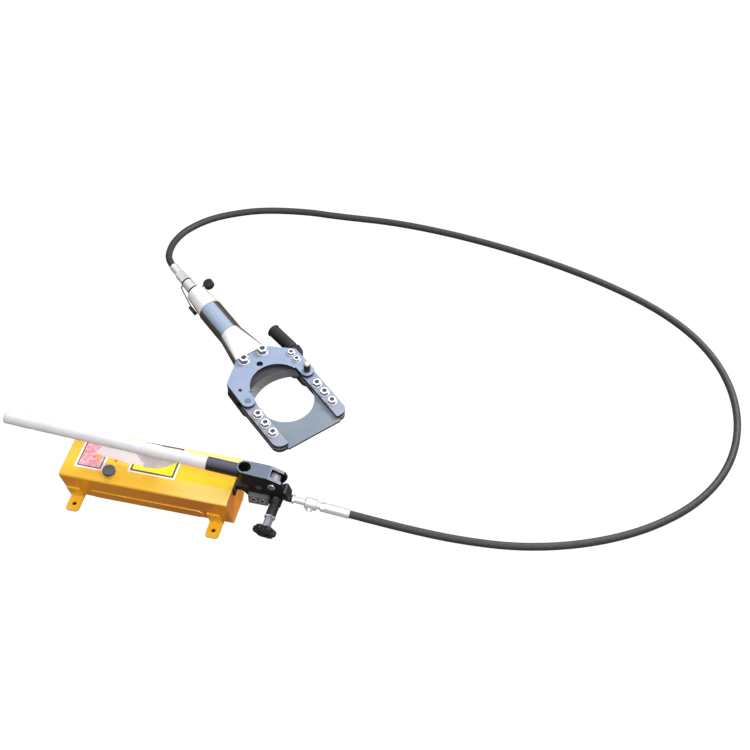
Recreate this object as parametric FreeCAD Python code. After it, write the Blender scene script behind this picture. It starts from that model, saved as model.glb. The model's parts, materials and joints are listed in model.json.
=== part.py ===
"""Hydraulic cable cutter: a split cutting head, its high-pressure hose and the hand pump that drives it.

Units are millimetres. +Z is up and the floor is z = 0.
The pump is modelled with X along its tank, towards the pump head, and the cutting head in its own
frame (u along the ram, v across it, w normal to the frame plates), which is then laid on the floor.
The origin is the middle of the four foot holes of the pump.
"""
import FreeCAD, Part
import math
import os

V = FreeCAD.Vector
X, Y, Z = V(1, 0, 0), V(0, 1, 0), V(0, 0, 1)

# ---- tank
tank_rear, tank_front = -165.0, 173.5
tank_top_width = 120.0
tank_floor_width = 70.0
tank_top = 98.5
tank_bottom = 4.0
tank_wall = 2.5
tank_end_thickness = 3.0
tank_top_bend = 6.0
tank_floor_bend = 14.0
panel_left, panel_right = -118.0, 116.0
panel_low, panel_high = 14.0, 44.0
panel_rise = 1.4
panel_corner = 12.0

# ---- feet
foot_spacing_x = 288.5
foot_spacing_y = 113.0
foot_offset_x = -5.25
foot_width = 27.0
foot_thickness = 3.0
foot_reach = 17.0
foot_corner = 7.0
foot_leg_height = 40.0
foot_hole = 9.0
rivet_diameter = 7.0
rivet_rise = 2.0
fixing_gap = 0.15

# ---- filler
filler_x, filler_y = -65.0, -42.0
filler_boss_radius = 11.5
filler_boss_height = 12.5
filler_base_radius = 14.0
filler_base_height = 2.5
filler_thread_radius = 9.0
filler_thread_depth = 9.0
filler_cap_radius = 12.5
filler_cap_height = 8.0

# ---- pump body and valve block
neck_half_width = 8.0
neck_low, neck_high = 85.0, 97.0
tower_half_width = 15.0
tower_left, tower_high = 189.0, 108.0
neck_flange_half_width = 20.0
neck_flange_thickness = 5.0
block_left, block_right = 205.0, 244.0
block_low, block_top = 69.5, 95.0
block_half_width = 23.0
block_screw_x = (216.5, 234.0)
block_screw_z = 83.0
screw_head_radius = 6.0
screw_recess = 1.3
screw_head_depth = 3.0
screw_shank_radius = 4.0
screw_socket_flats = 6.0
screw_length = 14.0
outlet_x = 286.5
body_right = 283.5
body_half_width = 12.0
body_low = 89.0
keel_half_width = 4.0
keel_low = 72.0
wedge_top = 107.0
suction_radius = 5.0
suction_length = 70.0
suction_height = 91.0

# ---- lever linkage; the lever is drawn with its handle level and then tilted about the fulcrum
fulcrum = V(252.0, 0, 124.5)
link_foot = V(257.5, 0, 86.0)
plunger_joint = V(226.5, 0, 117.0)
handle_tilt = 4.0
cheek_half_width = 16.0
lever_slot_half_width = 9.5
lever_top = 22.0
lever_bottom = -9.5
handle_axis_height = 6.25
socket_offset = -57.5
socket_radius = 12.0
lever_end_radius = 15.0
hub_reach = 24.0
lobe_radius = 18.0
lever_roof = 9.0
fork_start = -6.0
lever_clearance = 2.5
link_half_width = 6.5
link_top_half_width = 8.5
link_top_round = 13.0
link_foot_round = 9.0
fulcrum_pin_radius = 6.0
fulcrum_head_radius = 7.5
fulcrum_head_rise = 2.5
foot_pin_radius = 5.0
running_clearance = 0.06

# ---- plunger; the eye is slotted because its pin swings on an arc
plunger_radius = 7.0
plunger_axis_offset = -1.4
plunger_pin_radius = 4.5
plunger_pin_head_radius = 6.5
plunger_low = 74.0
eye_half_width = 9.5
eye_side_play = 2.0
eye_lift_play = 1.1
eye_wall = 4.5
gland_radius = 8.8
gland_height = 6.0
seal_thickness = 3.0

# ---- handle
sleeve_radius = 13.5
sleeve_start = 131.0
handle_radius = 11.5
handle_wall = 2.5
handle_reach = 534.5
wrap_thickness = 1.25
plug_rim = 4.0
plug_depth = 22.0

# ---- release valve
release_x, release_z = 255.4, 70.0
release_dip, release_turn_in = 12.0, 5.0
release_boss_radius = 12.0
release_boss_end = 17.0
release_housing_radius = 10.0
release_housing_end = 43.0
release_nut_flats = 22.0
release_nut_thickness = 3.5
spindle_flats = 15.0
spindle_end = 67.0
spindle_collar_radius = 17.0
spindle_collar_thickness = 2.0
spindle_tip_radius = 5.0
spindle_tip_end = 7.0
knob_radius = 19.5
knob_lobe_radius = 6.5
knob_lobe_count = 6
knob_length = 10.0

# ---- outlet fittings of the pump, measured from the port along the tilted outlet line
port_height = 76.5
outlet_tilt = 7.3
port_boss_radius = 7.5
adapter_radius = 6.3
adapter_length = 25.0
adapter_hex_flats = 16.0
adapter_hex_length = 4.0
coupler_end = 50.0
coupler_radius = 11.4
coupler_core_radius = 7.0
collar_lug_radius = 6.0
collar_lug_length = 11.0
hose_nut_start, hose_nut_end = 57.0, 64.5
hose_nut_flats = 17.0
ferrule_end = 114.0
ferrule_radius = 9.4

# ---- hose
hose_radius = 7.75
hose_bore_radius = 3.2

# ---- cutting head frame
head_x, head_y = 97.2, 364.7
head_yaw = -41.2
head_pitch = 3.44
plate_thickness = 8.0
plate_gap = 21.0
bolt_line = 73.5
pin_u = 96.0
arm_radius = 15.0
plate_rear = -10.0
plate_rear_half = 36.5
shoulder_u = 33.0
shoulder_half = 86.5
rear_bolt_v = 23.3
rear_bolt_radius = 6.0
rear_nut_flats = 19.0
rear_nut_height = 12.1
access_hole_u = 25.8
access_hole_radius = 7.0
grip_bolt_u = (38.0, 59.5)
grip_bolt_v = 71.5
grip_bolt_radius = 4.0
grip_nut_flats = 13.0
grip_nut_height = 6.5
dowel_u, dowel_v = 63.0, -72.0
dowel_radius = 4.0
guide_half = 58.4
guide_rear, guide_front = 34.0, 78.0

# ---- gate: two pairs of bars with the fixed blade between them
gate_clearance = 0.2
fixed_blade_thickness = 5.0
bar_inner = 60.0
bar_end = 228.0
bar_corner = 18.0
gate_bolt_u = (133.5, 161.5, 189.5)
gate_bolt_radius = 5.0
gate_nut_flats = 17.0
gate_nut_height = 8.4
fixed_blade_end = 235.5
fixed_blade_half = 64.0
fixed_blade_start = 118.0
fixed_edge_centre = 125.5
fixed_edge_radius = 60.0
hinge_pin_radius = 6.75
hinge_pin_rise = 1.0
latch_pin_radius = 6.25
latch_grip_radius = 7.2
latch_grip_height = 19.5
latch_dome_height = 5.5

# ---- ram and moving blade
blade_half = 58.0
blade_edge_u = 71.5
blade_bevel_width = 15.0
blade_edge_radius = 90.0
blade_edge_land = 1.0
shear_gap = 0.3
blade_plate_clearance = 0.4
blade_tang_half = 9.0
blade_tang_end = 13.0
blade_pin_radius = 4.0
rod_radius = 10.0
rod_front = 34.0
rod_rear = -208.0
piston_radius = 19.0
piston_length = 16.0
piston_clearance = 0.1
bore_rear, bore_front = -226.0, -75.0
bore_wall_clearance = 0.0

# ---- cylinder
barrel_radius = 27.5
barrel_rear, barrel_front = -176.5, -90.0
joint_groove = 1.0
rear_small_radius = 21.0
rear_end = -241.0
rear_large_radius = 26.5
rear_chamfer = 2.5
block_front = -12.0
front_block_half_height = 18.5
lug_front = 20.0
lug_inner = 11.0
gland_length = 14.0
spring_wire_radius = 1.6
spring_turns = 11

# ---- head fittings, measured along u
collar_front, collar_rear = -247.5, -276.0
collar_radius = 12.8
strap_width = 2.6
strap_thickness = 2.2
head_nut_rear = -309.0
head_nut_flats = 20.0
head_hose_start = -337.0
cap_radius = 11.5
near_cap_length, far_cap_length = 13.0, 8.0

# ---- front grip
grip_near = V(18.0, 89.5, 0)
grip_far = V(-52.0, 83.0, 0)
grip_radius = 13.5
grip_flange_radius = 14.8
grip_flange_length = 5.0
grip_core_radius = 8.0
grip_socket_radius = 12.0
ear_outer = 103.0
ear_rear, ear_front = 19.0, 42.0


def box(x0, x1, y0, y1, z0, z1):
    return Part.makeBox(x1 - x0, y1 - y0, z1 - z0, V(x0, y0, z0))


def rod(radius, start, direction, length):
    return Part.makeCylinder(radius, length, start, direction)


def ring(outer, inner, start, direction, length):
    return rod(outer, start, direction, length).cut(rod(inner, start, direction, length))


def hexagon(flats, start, direction, length, turn=0.0):
    """A hexagonal bar, its flats a given distance apart."""
    corner = flats / 2 / math.cos(math.radians(30))
    angles = [math.radians(turn + 60 * k) for k in range(7)]
    wire = Part.makePolygon([V(corner * math.cos(a), corner * math.sin(a), 0) for a in angles])
    bar = Part.Face(wire).extrude(V(0, 0, length))
    bar.Placement = FreeCAD.Placement(start, FreeCAD.Rotation(Z, direction))
    return bar


def nut(flats, hole_radius, start, direction, length, turn=0.0):
    """A hexagon nut whose outer corners are turned off by a cone."""
    blank = hexagon(flats, start, direction, length, turn)
    corner = flats / 2 / math.cos(math.radians(30))
    cone = Part.makeCone(corner + length, flats / 2 * 0.95, corner + length - flats / 2 * 0.95,
                         start + direction * (flats / 2 * 0.95 - corner), direction)
    return blank.common(cone).cut(rod(hole_radius, start, direction, length))


def rounded_outline(corners):
    """A closed wire in the XY plane through (x, y, radius) corners, each rounded by its radius."""
    count = len(corners)
    starts, mids, ends = [], [], []
    for k, (x, y, radius) in enumerate(corners):
        here = V(x, y, 0)
        back = V(*corners[k - 1][:2], 0) - here
        ahead = V(*corners[(k + 1) % count][:2], 0) - here
        back.normalize()
        ahead.normalize()
        half = back.getAngle(ahead) / 2
        reach = radius / math.tan(half)
        middle = back + ahead
        middle.normalize()
        starts.append(here + back * reach)
        ends.append(here + ahead * reach)
        mids.append(here + middle * (radius / math.sin(half) - radius))
    edges = []
    for k in range(count):
        if corners[k][2] > 0:
            edges.append(Part.Arc(starts[k], mids[k], ends[k]).toShape())
        following = starts[(k + 1) % count]
        if ends[k].distanceToPoint(following) > 1e-6:
            edges.append(Part.LineSegment(ends[k], following).toShape())
    return Part.Wire(edges)


def slab(corners, low, high):
    """A flat plate between two heights, with a rounded outline."""
    plate = Part.Face(rounded_outline(corners)).extrude(V(0, 0, high - low))
    plate.translate(V(0, 0, low))
    return plate


def side_slab(corners, half_width):
    """A plate standing in the XZ plane, from (x, z, radius) corners, centred on y = 0."""
    plate = slab(corners, -half_width, half_width)
    plate.rotate(V(0, 0, 0), X, 90)
    return plate


def fuse(*pieces):
    return pieces[0].fuse(list(pieces[1:])).removeSplitter()


def cut(body, *tools):
    return body.cut(list(tools))


def mirrored(shape, normal):
    return shape.mirror(V(0, 0, 0), normal)


# ------------------------------------------------------------------ tank and feet

def tank_slope():
    """Run per unit of height of the sloping tank sides."""
    return (tank_top_width - tank_floor_width) / 2 / (tank_top - tank_bottom)


def tank_side(height):
    """Half the width of the tank at a height."""
    return tank_top_width / 2 - (tank_top - height) * tank_slope()


def tank_section():
    """The outline of the tank across its length, in the XY plane with Y up."""
    return rounded_outline([
        (-tank_top_width / 2, tank_top, tank_top_bend),
        (tank_top_width / 2, tank_top, tank_top_bend),
        (tank_floor_width / 2, tank_bottom, tank_floor_bend),
        (-tank_floor_width / 2, tank_bottom, tank_floor_bend),
    ])


def along_tank(wire, start, length):
    """Extrude a tank section along X from a start."""
    solid = Part.Face(wire).extrude(V(0, 0, length))
    solid.rotate(V(0, 0, 0), X, 90)
    solid.rotate(V(0, 0, 0), Z, 90)
    solid.translate(V(start, 0, 0))
    return solid


def side_panel():
    """The pressed panel that stands proud of the front side of the tank."""
    pad = side_slab([
        (panel_left, panel_low, panel_corner), (panel_left, panel_high, panel_corner),
        (panel_right, panel_high, panel_corner), (panel_right, panel_low, panel_corner),
    ], panel_rise + tank_wall / 2)
    pad.rotate(V(0, 0, panel_low), X, math.degrees(math.atan(tank_slope())))
    pad.translate(V(0, -tank_side(panel_low) + tank_wall / 2, 0))
    return pad


def tank_shell():
    start = tank_rear + tank_end_thickness
    length = tank_front - tank_end_thickness - start
    outer_wire = tank_section()
    outer = along_tank(outer_wire, start, length)
    inner = along_tank(outer_wire.makeOffset2D(-tank_wall), start, length)
    pads = fuse(outer, side_panel(), mirrored(side_panel(), Y))
    filler_hole = rod(filler_thread_radius + 1, V(filler_x, filler_y, tank_top - 2 * tank_wall), Z, 3 * tank_wall)
    return cut(pads, inner, filler_hole)


def tank_end(side):
    start = tank_front - tank_end_thickness if side > 0 else tank_rear
    plate = along_tank(tank_section(), start, tank_end_thickness)
    if side > 0:
        hole = rod(suction_radius, V(start - 1, 0, suction_height), X, tank_end_thickness + 2)
        plate = plate.cut(hole)
    return plate


def foot_bracket():
    """One front foot at x = 0: a flange on the floor and a leg up the sloping side of the tank."""
    hole_y = -foot_spacing_y / 2
    inner_y = -tank_side(tank_bottom) + tank_floor_bend / 2
    flange = slab([
        (-foot_width / 2, hole_y - foot_reach, foot_corner),
        (foot_width / 2, hole_y - foot_reach, foot_corner),
        (foot_width / 2, inner_y, 0), (-foot_width / 2, inner_y, 0),
    ], 0, foot_thickness)
    outside = tank_side(tank_bottom)
    leg = box(-foot_width / 2, foot_width / 2, -foot_thickness, 0, -foot_thickness, foot_leg_height)
    leg.rotate(V(0, 0, 0), X, math.degrees(math.atan(tank_slope())))
    leg.translate(V(0, -outside - fixing_gap, tank_bottom))
    leg = leg.common(box(-foot_width, foot_width, -100, 0, 0, 100))
    hole = rod(foot_hole / 2, V(0, hole_y, -1), Z, foot_thickness + 2)
    rivet_hole = rod(rivet_diameter / 4, V(0, 0, 0), -Y, 3 * foot_thickness)
    rivet_hole.Placement = rivet_place()
    return fuse(flange, leg).cut([hole, rivet_hole])


def rivet_place():
    """Where the rivet of a front foot sits: on the side of the tank, square to it."""
    height = foot_leg_height * 0.62
    lean = math.degrees(math.atan(tank_slope()))
    base = V(0, -tank_side(tank_bottom + height) + tank_wall / 2, tank_bottom + height)
    return FreeCAD.Placement(base, FreeCAD.Rotation(X, lean))


def foot_rivet():
    outside = tank_wall / 2 + foot_thickness + 2 * fixing_gap
    head = Part.makeSphere(rivet_diameter, V(0, rivet_diameter - outside - rivet_rise, 0))
    head = head.common(rod(rivet_diameter / 2, V(0, -outside, 0), -Y, rivet_rise))
    shank = rod(rivet_diameter / 4 - 0.05, V(0, -outside, 0), Y, foot_thickness)
    rivet = fuse(head, shank)
    rivet.Placement = rivet_place()
    return rivet


def at_each_foot(piece):
    """Four copies of a front foot's piece, one for each corner of the tank."""
    copies = []
    for side in (-1, 1):
        front = piece.copy()
        front.translate(V(foot_offset_x + side * foot_spacing_x / 2, 0, 0))
        copies += [front, mirrored(front, Y)]
    return Part.makeCompound(copies)


def filler_boss():
    base = V(filler_x, filler_y, tank_top)
    ring_base = rod(filler_base_radius, base, Z, filler_base_height)
    ring_base = ring_base.makeFillet(1.5, [ring_base.Edges[0]])
    boss = fuse(ring_base, rod(filler_boss_radius, base, Z, filler_boss_height))
    return boss.cut(rod(filler_thread_radius + running_clearance, base, Z, filler_boss_height))


def filler_cap():
    top = V(filler_x, filler_y, tank_top + filler_boss_height + fixing_gap)
    head = rod(filler_cap_radius, top, Z, filler_cap_height)
    head = head.makeChamfer(1.2, [head.Edges[0]])
    notches = []
    for k in range(12):
        angle = math.radians(30 * k)
        reach = filler_cap_radius + 1.2
        spot = top + V(reach * math.cos(angle), reach * math.sin(angle), 0)
        notches.append(rod(2.2, spot, Z, filler_cap_height))
    thread_start = top - Z * filler_thread_depth
    plug = rod(filler_thread_radius, thread_start, Z, filler_thread_depth)
    vent = rod(1.5, thread_start, Z, filler_thread_depth)
    return fuse(head.cut(notches), plug).cut(vent)


# ------------------------------------------------------------------ pump body

def lever_point(along, up):
    """A point of the lever, given from the fulcrum with the handle level, where it stands at rest."""
    turn = math.radians(handle_tilt)
    return fulcrum + V(along * math.cos(turn) + up * math.sin(turn), 0,
                       up * math.cos(turn) - along * math.sin(turn))


def across(radius, centre, half_width):
    """A rod across the pump through a point of its middle plane."""
    return rod(radius, centre - Y * half_width, Y, 2 * half_width)


def pump_body():
    """The black casting: neck, plunger tower, wedge for the link foot, valve boss and outlet port."""
    tank_face = tank_front
    flange = box(tank_face, tank_face + neck_flange_thickness, -neck_flange_half_width, neck_flange_half_width,
                 neck_low - 5, tank_top - 1)
    neck = side_slab([
        (tank_face, neck_low, 0), (tower_left + 12, neck_low, 0), (tower_left + 12, neck_high, 0),
        (tank_face, neck_high, 0),
    ], neck_half_width)
    tower = side_slab([
        (block_left, 80.0, 0), (block_left + 3, 80.0, 0), (block_left + 3, block_top, 0),
        (block_right + 1, block_top, 0), (block_right + 1, block_top + 2, 0), (212.0, block_top + 3, 3),
        (208.0, tower_high, 4), (tower_left, tower_high, 3), (tower_left, tower_high - 8, 4),
    ], tower_half_width)
    keel = slab([
        (-keel_half_width, keel_low, 2), (keel_half_width, keel_low, 2), (body_half_width, body_low, 3),
        (body_half_width, 140.0, 0), (-body_half_width, 140.0, 0), (-body_half_width, body_low, 3),
    ], block_right, 300.0)
    keel.rotate(V(0, 0, 0), V(1, 1, 1), 120)
    wedge = side_slab([
        (block_right, 60.0, 0), (body_right, 60.0, 0), (body_right, 87.0, 4), (277.0, wedge_top, 4),
        (270.0, wedge_top, 2), (block_right, block_top + 2, 0),
    ], 2 * body_half_width).common(keel)
    boss = on_release(rod(release_boss_radius, release_point(-14.0), -Y, release_boss_end + 14.0))
    port = rod(port_boss_radius, outlet_point(-12.0), outlet_direction(), 12.0)
    body = fuse(flange, neck, tower, wedge, boss, port)
    plunger_axis = plunger_joint.x + plunger_axis_offset
    hub_room = hub_profile(lever_clearance, 2 * tower_half_width)
    swing_room = across(hub_reach + lever_clearance, fulcrum, 2 * tower_half_width)
    lobe_room = across(lobe_radius + lever_clearance, plunger_joint, 2 * tower_half_width)
    link_slot = side_slab([
        (link_foot.x - link_foot_round - 2, link_foot.z - link_foot_round - 1.5, 4),
        (link_foot.x + link_foot_round + 2, link_foot.z - link_foot_round - 1.5, 4),
        (link_foot.x + link_foot_round + 6, wedge_top + 5, 0),
        (link_foot.x - link_foot_round - 10, wedge_top + 5, 0),
    ], link_half_width + 0.4)
    gland_seat = rod(gland_radius, V(plunger_axis, 0, block_top - 6), Z, 30)
    foot_bore = across(foot_pin_radius, link_foot, body_half_width + 1)
    suction_bore = rod(suction_radius, V(tank_face - 1, 0, suction_height), X, 30)
    valve_start = release_point(release_boss_end + 1)
    valve_bore = on_release(rod(spindle_tip_radius + 1, valve_start, Y, release_boss_end - 3))
    outlet_bore = rod(adapter_radius - 2, outlet_point(0), -outlet_direction(), 14)
    block_room = box(block_left, block_right, -block_half_width, block_half_width, block_low, block_top)
    lever_rooms = [hub_room, swing_room, lobe_room, link_slot]
    bores = [gland_seat, foot_bore, suction_bore, valve_bore, outlet_bore]
    return cut(body, block_room, *lever_rooms, *bores)


def valve_block():
    block = box(block_left, block_right, -block_half_width, block_half_width, block_low, block_top)
    block = block.makeChamfer(1.0, block.Edges)
    plunger_axis = plunger_joint.x + plunger_axis_offset
    bore = rod(plunger_radius + running_clearance, V(plunger_axis, 0, plunger_low - 2), Z, 40)
    gland_seat = rod(gland_radius, V(plunger_axis, 0, block_top - 6), Z, 30)
    holes = []
    for x in block_screw_x:
        face = V(x, -block_half_width, block_screw_z)
        holes.append(rod(screw_head_radius + screw_recess, face, Y, screw_head_depth))
        holes.append(rod(screw_shank_radius, face, Y, screw_length))
    return cut(block, bore, gland_seat, *holes)


def block_screws():
    """Two socket-head plugs in the front of the valve block."""
    screws = []
    for x in block_screw_x:
        face = V(x, -block_half_width - 0.6, block_screw_z)
        head = rod(screw_head_radius, face, Y, screw_head_depth + 0.6)
        shank = rod(screw_shank_radius, face, Y, screw_length)
        socket = hexagon(screw_socket_flats, face, Y, screw_head_depth + 0.2)
        screws.append(fuse(head, shank).cut(socket))
    return Part.makeCompound(screws)


def plunger_gland():
    plunger_axis = plunger_joint.x + plunger_axis_offset
    start = V(plunger_axis, 0, block_top - 6)
    return ring(gland_radius, plunger_radius + running_clearance, start, Z, gland_height + 5)


def plunger():
    """The pump plunger: a round ram with a slotted eye for the lever's pin."""
    axis = V(plunger_joint.x + plunger_axis_offset, 0, plunger_low)
    eye_centre = V(axis.x, 0, plunger_joint.z + 0.3)
    half_slot = plunger_pin_radius + eye_side_play
    half_lift = plunger_pin_radius + eye_lift_play
    eye = side_slab([
        (axis.x - half_slot - 3, eye_centre.z - half_lift - eye_wall, 4),
        (axis.x + half_slot + 3, eye_centre.z - half_lift - eye_wall, 4),
        (axis.x + half_slot + 3, eye_centre.z + half_lift + eye_wall - 1, 5),
        (axis.x - half_slot - 3, eye_centre.z + half_lift + eye_wall - 1, 5),
    ], eye_half_width - 1.0)
    slot = side_slab([
        (axis.x - half_slot, eye_centre.z - half_lift, half_lift - 0.1),
        (axis.x + half_slot, eye_centre.z - half_lift, half_lift - 0.1),
        (axis.x + half_slot, eye_centre.z + half_lift, half_lift - 0.1),
        (axis.x - half_slot, eye_centre.z + half_lift, half_lift - 0.1),
    ], eye_half_width)
    stem = rod(plunger_radius, axis, Z, eye_centre.z - half_lift - plunger_low - 1)
    return fuse(stem, eye).cut(slot)


def link():
    """The short bar that carries the fulcrum; it rocks on the pin in the casting."""
    bar = side_slab([
        (link_foot.x - link_foot_round + 1, link_foot.z, 0), (link_foot.x + link_foot_round - 1, link_foot.z, 0),
        (fulcrum.x + link_top_round - 2, fulcrum.z, 0), (fulcrum.x - link_top_round + 4, fulcrum.z, 0),
    ], link_half_width)
    top = across(link_top_round, fulcrum, link_top_half_width)
    foot = across(link_foot_round, link_foot, link_half_width)
    top_bore = across(fulcrum_pin_radius + running_clearance, fulcrum, link_top_half_width + 1)
    foot_bore = across(foot_pin_radius + running_clearance, link_foot, link_half_width + 1)
    return fuse(bar, top, foot).cut([top_bore, foot_bore])


def headed_pin(radius, head_radius, head_rise, centre, half_width):
    """A cross pin with a domed head on the front of what it holds."""
    shank = across(radius, centre, half_width)
    head = rod(head_radius, centre - Y * (half_width + head_rise), Y, head_rise)
    head = head.makeFillet(head_rise * 0.6, [head.Edges[2]])
    return fuse(shank, head)


def fulcrum_pin():
    return headed_pin(fulcrum_pin_radius, fulcrum_head_radius, fulcrum_head_rise, fulcrum, cheek_half_width)


def plunger_pin():
    return headed_pin(plunger_pin_radius, plunger_pin_head_radius, 1.5, plunger_joint, cheek_half_width)


def link_foot_pin():
    return across(foot_pin_radius, link_foot, body_half_width)


def hub_corners(growth):
    """The side outline of the lever's hub about the fulcrum: flat on top, then falling to a blunt nose."""
    return [
        (-36.0, lever_top, 0), (-9.0, lever_top, 10), (hub_reach - 5 + growth, 13.0 + growth, 8),
        (hub_reach + growth, 0, 6), (16.0 + growth, -17.0 - growth, 12), (-8.0, -23.0 - growth, 10),
        (-36.0, lever_bottom - growth, 0),
    ]


def hub_profile(growth, half_width):
    """The hub's outline at rest, grown by a clearance."""
    return on_lever(side_slab(hub_corners(growth), half_width))


def lever_head():
    """The forged lever head, drawn level about the fulcrum and tilted into place."""
    centre = V(0, 0, 0)
    joint = FreeCAD.Rotation(Y, -handle_tilt).multVec(plunger_joint - fulcrum)
    half = cheek_half_width
    round_end = rod(lever_end_radius, V(socket_offset, 0, lever_bottom), Z, lever_top - lever_bottom)
    beam = slab([
        (socket_offset, -lever_end_radius, 0), (-30.0, -half, 0), (-12.0, -half, 0),
        (-12.0, half, 0), (-30.0, half, 0), (socket_offset, lever_end_radius, 0),
    ], lever_bottom, lever_top)
    hub = side_slab(hub_corners(0.0), half)
    lobe = across(lobe_radius, joint, half)
    head = fuse(round_end, beam, hub, lobe)
    inner = lever_slot_half_width
    slot = box(-46.0, 60.0, -inner, inner, -60.0, lever_top - lever_roof)
    fork = box(fork_start, 60.0, -inner, inner, -60.0, lever_top + 1)
    socket = rod(socket_radius, V(socket_offset, 0, lever_bottom - 1), Z, lever_top - lever_bottom + 2)
    fulcrum_bore = across(fulcrum_pin_radius, centre, half + 1)
    plunger_bore = across(plunger_pin_radius, joint, half + 1)
    head = cut(head, slot, fork, socket, fulcrum_bore, plunger_bore)
    return on_lever(head)


def on_lever(shape):
    """Tilt a piece drawn with the handle level and carry it to the fulcrum."""
    shape.rotate(V(0, 0, 0), Y, handle_tilt)
    shape.translate(fulcrum)
    return shape


def handle_axis(along):
    return V(-along, 0, handle_axis_height)


def handle_sleeve():
    inner_end = -socket_offset + lever_end_radius * 0.7
    sleeve = ring(sleeve_radius, handle_radius + fixing_gap, handle_axis(sleeve_start), X, sleeve_start - inner_end)
    round_end = rod(lever_end_radius + 0.05, V(socket_offset, 0, lever_bottom - 9), Z, 60)
    return on_lever(sleeve.cut(round_end))


def handle_tube():
    inner_end = -socket_offset + lever_end_radius + 1
    length = handle_reach - inner_end
    start = handle_axis(handle_reach)
    return on_lever(ring(handle_radius, handle_radius - handle_wall, start, X, length))


def handle_wrap():
    """The packing film that is wound round the handle tube."""
    start = handle_axis(handle_reach)
    outer = handle_radius + wrap_thickness
    return on_lever(ring(outer, handle_radius + 0.05, start, X, handle_reach - sleeve_start - fixing_gap))


def handle_plug():
    start = handle_axis(handle_reach)
    stem = rod(handle_radius - handle_wall - 0.05, start, X, plug_depth)
    rim = rod(handle_radius + wrap_thickness, start - X * plug_rim, X, plug_rim)
    rim = rim.makeFillet(2.5, [rim.Edges[2]])
    return on_lever(fuse(stem, rim))


def suction_tube():
    start = V(tank_front + neck_flange_thickness, 0, suction_height)
    level = ring(suction_radius, suction_radius - 1.5, start, -X, suction_length)
    elbow = start - X * suction_length
    drop = ring(suction_radius, suction_radius - 1.5, elbow - Z * 60, Z, 60 + suction_radius)
    inside = rod(suction_radius - 1.5, start, -X, suction_length)
    return fuse(level, drop.cut(rod(suction_radius - 0.01, start, -X, suction_length))).cut(inside)


# ------------------------------------------------------------------ release valve

def release_point(out):
    """A point of the release valve, before the valve is dipped and turned in towards the tank."""
    return V(release_x, -out, release_z)


def on_release(shape):
    pivot = release_point(release_boss_end)
    shape.rotate(pivot, X, release_dip)
    shape.rotate(pivot, Z, -release_turn_in)
    return shape


def release_housing():
    start = release_point(release_boss_end)
    length = release_housing_end - release_boss_end
    return on_release(ring(release_housing_radius, spindle_tip_radius + running_clearance, start, -Y, length))


def release_nut():
    start = release_point(release_housing_end)
    bore = spindle_tip_radius + running_clearance
    return on_release(nut(release_nut_flats, bore, start, -Y, release_nut_thickness, 15.0))


def release_spindle():
    nut_face = release_housing_end + release_nut_thickness + fixing_gap
    tip = rod(spindle_tip_radius, release_point(nut_face), Y, nut_face - spindle_tip_end)
    grip = hexagon(spindle_flats, release_point(nut_face), -Y, spindle_end - nut_face)
    collar = rod(spindle_collar_radius, release_point(spindle_end), -Y, spindle_collar_thickness)
    return on_release(fuse(tip, grip, collar))


def release_knob():
    start = release_point(spindle_end + spindle_collar_thickness)
    core = Part.makeCone(knob_radius - 4, knob_radius, knob_length, start, -Y)
    lobes = []
    for k in range(knob_lobe_count):
        angle = math.radians(360 / knob_lobe_count * k)
        spot = start + V(math.cos(angle), 0, math.sin(angle)) * (knob_radius - 2.0)
        lobes.append(rod(knob_lobe_radius, spot, -Y, knob_length))
    knob = fuse(core, *lobes)
    rim = rod(knob_radius + knob_lobe_radius - 2.6, start, -Y, knob_length)
    rim = rim.makeChamfer(2.0, [rim.Edges[0], rim.Edges[2]])
    dish = rod(knob_radius - 7, start - Y * (knob_length - 2.0), -Y, 5)
    return on_release(knob.common(rim).cut(dish))


# ------------------------------------------------------------------ outlet fittings

def outlet_direction():
    tilt = math.radians(outlet_tilt)
    return V(math.cos(tilt), 0, -math.sin(tilt))


def outlet_point(along):
    return V(outlet_x, 0, port_height) + outlet_direction() * along


def outlet_adapter():
    line = outlet_direction()
    stem = rod(adapter_radius, outlet_point(0), line, adapter_length)
    collar = hexagon(adapter_hex_flats, outlet_point(0), line, adapter_hex_length)
    spigot = rod(coupler_core_radius - 2, outlet_point(adapter_length), line, 8)
    bore = rod(hose_bore_radius, outlet_point(0), line, adapter_length + 8)
    return fuse(stem, collar, spigot).cut(bore)


def coupler_core():
    line = outlet_direction()
    core = rod(coupler_core_radius, outlet_point(adapter_length), line, hose_nut_start - adapter_length)
    seat = rod(coupler_core_radius - 2, outlet_point(adapter_length), line, 8)
    bore = rod(hose_bore_radius, outlet_point(adapter_length), line, hose_nut_start - adapter_length)
    return core.cut([seat, bore])


def coupler_collar():
    """The knurled collar that is screwed over the outlet coupler, with its thumb lug."""
    line = outlet_direction()
    length = coupler_end - adapter_length - 1
    start = outlet_point(adapter_length + 0.5)
    body = rod(coupler_radius, start, line, length)
    body = body.makeChamfer(1.4, [body.Edges[0], body.Edges[2]])
    down = V(-line.z, 0, line.x) * -1
    lug_start = outlet_point(adapter_length + length * 0.45)
    lug = rod(collar_lug_radius, lug_start, (down * 0.55 - Y).normalize(), coupler_radius + 3.5)
    bore = rod(coupler_core_radius + running_clearance, start, line, length)
    return fuse(body, lug).cut(bore)


def hose_nuts():
    """The union nuts at the two ends of the hose."""
    line = outlet_direction()
    length = hose_nut_end - hose_nut_start
    pump_nut = nut(hose_nut_flats, hose_bore_radius, outlet_point(hose_nut_start), line, length)
    head_length = collar_rear - strap_width - 0.6 - head_nut_rear
    head_nut = nut(head_nut_flats, hose_bore_radius, V(head_nut_rear, 0, 0), X, head_length)
    socket = rod(coupler_core_radius + 1, V(head_nut_rear + 24, 0, 0), X, 20)
    return Part.makeCompound([pump_nut, on_head(head_nut.cut(socket))])


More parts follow.
